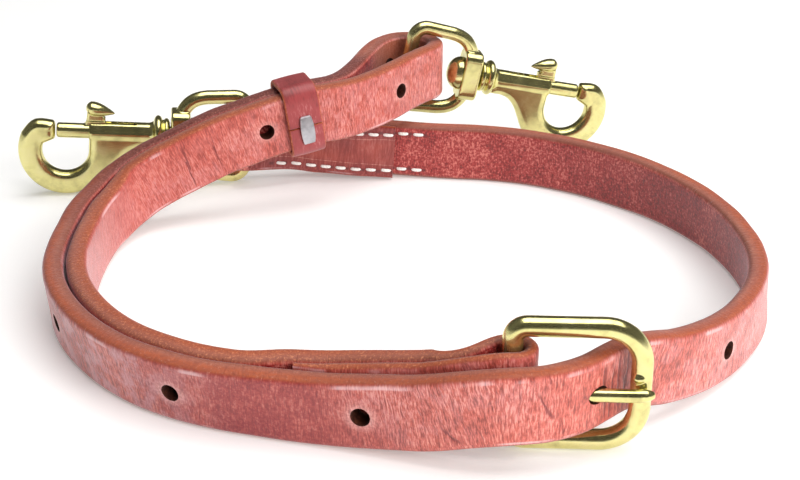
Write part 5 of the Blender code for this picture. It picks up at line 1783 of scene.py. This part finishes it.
    def bolt(self, look):
        """Cast the bolt with its thumb knob, whose lip points back to the swivel."""
        radius = BOLT_DIAMETER / 2
        rod = turned(((0, BOLT_TIP), (radius - EDGE_BREAK, BOLT_TIP), (radius, BOLT_TIP - EDGE_BREAK),
                      (radius, BOLT_REAR), (0, BOLT_REAR)), 40)
        over = BARREL_DIAMETER / 2 + SEAT_GAP
        front = BARREL_END + KNOB_AHEAD
        rear = front - STEM_LENGTH
        toe = front + 0.4 * STEM_LENGTH
        waist = over + 0.55 * KNOB_LIP
        fillet = flowing(((toe, 0.7 * radius), (front + 0.12 * STEM_LENGTH, radius), (front, waist)), 12)
        stem = plate([(rear, 0), (toe, 0)] + fillet + [(rear, waist)], KNOB_STEM, KNOB_STEM_ROUNDING)
        lip = over + KNOB_LIP
        top = over + KNOB_TOP
        neck = plate(((rear + 0.0004, over), (front, over), (front - 0.0002, lip + 0.0018),
                      (rear + 0.0010, lip + 0.0012)), 0.62 * KNOB_WIDTH, KNOB_NECK_ROUNDING)
        return cast([rod, stem, neck, self.thumb_piece(front, lip, top)], [], look.casting_detail * 0.8, 5)

    def thumb_piece(self, front, lip, top):
        """Shape the top of the knob: a drop with its round end forward and its point to the swivel."""
        # share of the length from the round end, share of the greatest half width
        drop = ((0.0, 0.0), (0.02, 0.42), (0.08, 0.76), (0.18, 0.97), (0.30, 1.0), (0.48, 0.90),
                (0.66, 0.68), (0.84, 0.38), (0.95, 0.17), (1.0, 0.0))
        tall = KNOB_DROP_HALF
        rows = flowing(drop, 40)
        data = turned([(max(0.0, half) * tall, -share * KNOB_LENGTH) for share, half in rows], 32)
        data.transform(Matrix.Diagonal((1.0, KNOB_WIDTH / 2 / tall, 1.0, 1.0)))
        slope = math.asin((top - tall - lip - 0.0004) / KNOB_LENGTH)
        data.transform(Matrix.Translation((front + 0.0002, 0, top - tall)) @ Matrix.Rotation(-slope, 4, "Y"))
        return data


class MARTINGALE_OT_stage(bpy.types.Operator):
    """Set up the floor, the soft studio light and the camera"""

    bl_idname = "martingale.stage"
    bl_label = "Stage"

    def execute(self, context):
        look = context.scene.martingale_stage
        self.floor(look)
        self.world(look)
        # name, place, point it looks at, size, power, colour, whether the brass mirrors it
        lights = (
            ("top_softbox", (0.20, 0.02, 1.00), (0.0, 0.0, 0.0), 1.00, 8.4, (1.0, 0.99, 0.97), True),
            ("front_softbox", (0.70, -0.95, 0.60), (0.0, -0.02, 0.0), 0.80, 16.0, (1.0, 0.98, 0.96), False),
            ("side_softbox", (0.95, 0.10, 0.50), (0.0, 0.0, 0.0), 0.60, 2.6, (1.0, 0.99, 0.98), False),
        )
        for name, place, target, size, power, colour, mirrored in lights:
            data = bpy.data.lights.new(name, "AREA")
            data.size = size
            data.energy = power * look.light
            data.color = colour
            lamp = bpy.data.objects.new(name, data)
            lamp.location = place
            lamp.visible_glossy = mirrored
            lamp.rotation_euler = (Vector(target) - Vector(place)).to_track_quat("-Z", "Y").to_euler()
            context.scene.collection.objects.link(lamp)
        data = bpy.data.cameras.new("photo_camera")
        data.lens = look.lens
        data.sensor_width = 36.0
        data.clip_start = 0.01
        camera = bpy.data.objects.new("photo_camera", data)
        camera.location = CAMERA_PLACE
        camera.rotation_euler = (CAMERA_TILT, 0, 0)
        context.scene.collection.objects.link(camera)
        context.scene.camera = camera
        context.scene.view_settings.view_transform = "Standard"
        return {"FINISHED"}

    def floor(self, look):
        """Lay a plain floor that glows a little, just under the object."""
        finish = Finish("studio_floor")
        grain = finish.noise(finish.places(), 30.0, 2.0)
        colour = finish.mix(grain * 0.10, look.floor, shade(look.floor, 0.97))
        fixed = {"Emission Color": (*look.floor, 1.0), "Emission Strength": 0.25}
        material = finish.done(colour, 0.75, **fixed)

        def build(work):
            bmesh.ops.create_grid(work, x_segments=2, y_segments=2, size=6.0)
        data = mesh_of(build)
        data.materials.append(material)
        floor = bpy.data.objects.new("studio_floor", data)
        floor.location = (0, 0, -FLOOR_DROP)
        bpy.context.scene.collection.objects.link(floor)

    def world(self, look):
        """Surround the object with a room that the brass mirrors in pale and dark bands.

        It is pale at the horizon and straight overhead, dark between, and weaker to the right, in front
        and behind.
        """
        room = Finish("studio", bpy.data.worlds, "Background")
        bpy.context.scene.world = room.owner
        across, away, height = room.split(room.add("ShaderNodeTexCoord"))
        # height of the direction, tone of the room there
        tones = ((0.0, 0.85), (0.10, 0.80), (0.22, 0.12), (0.88, 0.10), (0.96, 0.55), (1.0, 0.80))
        colour = room.ramp(height, [(place, (tone, tone, tone)) for place, tone in tones])
        strength = across.fade(-0.9, 0.7, 0.95, 0.75) * look.light * abs(away).fade(0.15, 0.90, 1.00, 0.30)
        room.feed(room.shader, {"Color": colour, "Strength": strength})


class MARTINGALE_PT_panel(bpy.types.Panel):
    """Settings and steps of the martingale"""

    bl_label = "Martingale"
    bl_idname = "MARTINGALE_PT_panel"
    bl_space_type = "VIEW_3D"
    bl_region_type = "UI"
    bl_category = "Martingale"

    def draw(self, context):
        for group in ("martingale_leather", "martingale_thread", "martingale_brass", "martingale_stage"):
            look = getattr(context.scene, group)
            section = self.layout.box()
            for name in look.__annotations__:
                section.prop(look, name)
        for step in STEPS:
            self.layout.operator(step.bl_idname)


LOOKS = (
    ("martingale_leather", LeatherLook),
    ("martingale_thread", ThreadLook),
    ("martingale_brass", BrassLook),
    ("martingale_stage", StageLook),
)
STEPS = (
    MARTINGALE_OT_stage,
    MARTINGALE_OT_strap,
    MARTINGALE_OT_stitching,
    MARTINGALE_OT_keeper,
    MARTINGALE_OT_buckle,
    MARTINGALE_OT_snaps,
)


def register():
    """Add the settings, the steps and the panel."""
    for name, look in LOOKS:
        bpy.utils.register_class(look)
        setattr(bpy.types.Scene, name, bpy.props.PointerProperty(type=look))
    for step in STEPS:
        bpy.utils.register_class(step)
    bpy.utils.register_class(MARTINGALE_PT_panel)


def unregister():
    """Take the panel, the steps and the settings away."""
    bpy.utils.unregister_class(MARTINGALE_PT_panel)
    for step in reversed(STEPS):
        bpy.utils.unregister_class(step)
    for name, look in reversed(LOOKS):
        delattr(bpy.types.Scene, name)
        bpy.utils.unregister_class(look)


def main():
    """Add the settings and build everything: the stage, the strap, the stitching, the keeper, the buckle and
    the snaps.
    """
    register()
    bpy.ops.martingale.stage()
    bpy.ops.martingale.strap()
    bpy.ops.martingale.stitching()
    bpy.ops.martingale.keeper()
    bpy.ops.martingale.buckle()
    bpy.ops.martingale.snaps()


if __name__ == "__main__":
    main()
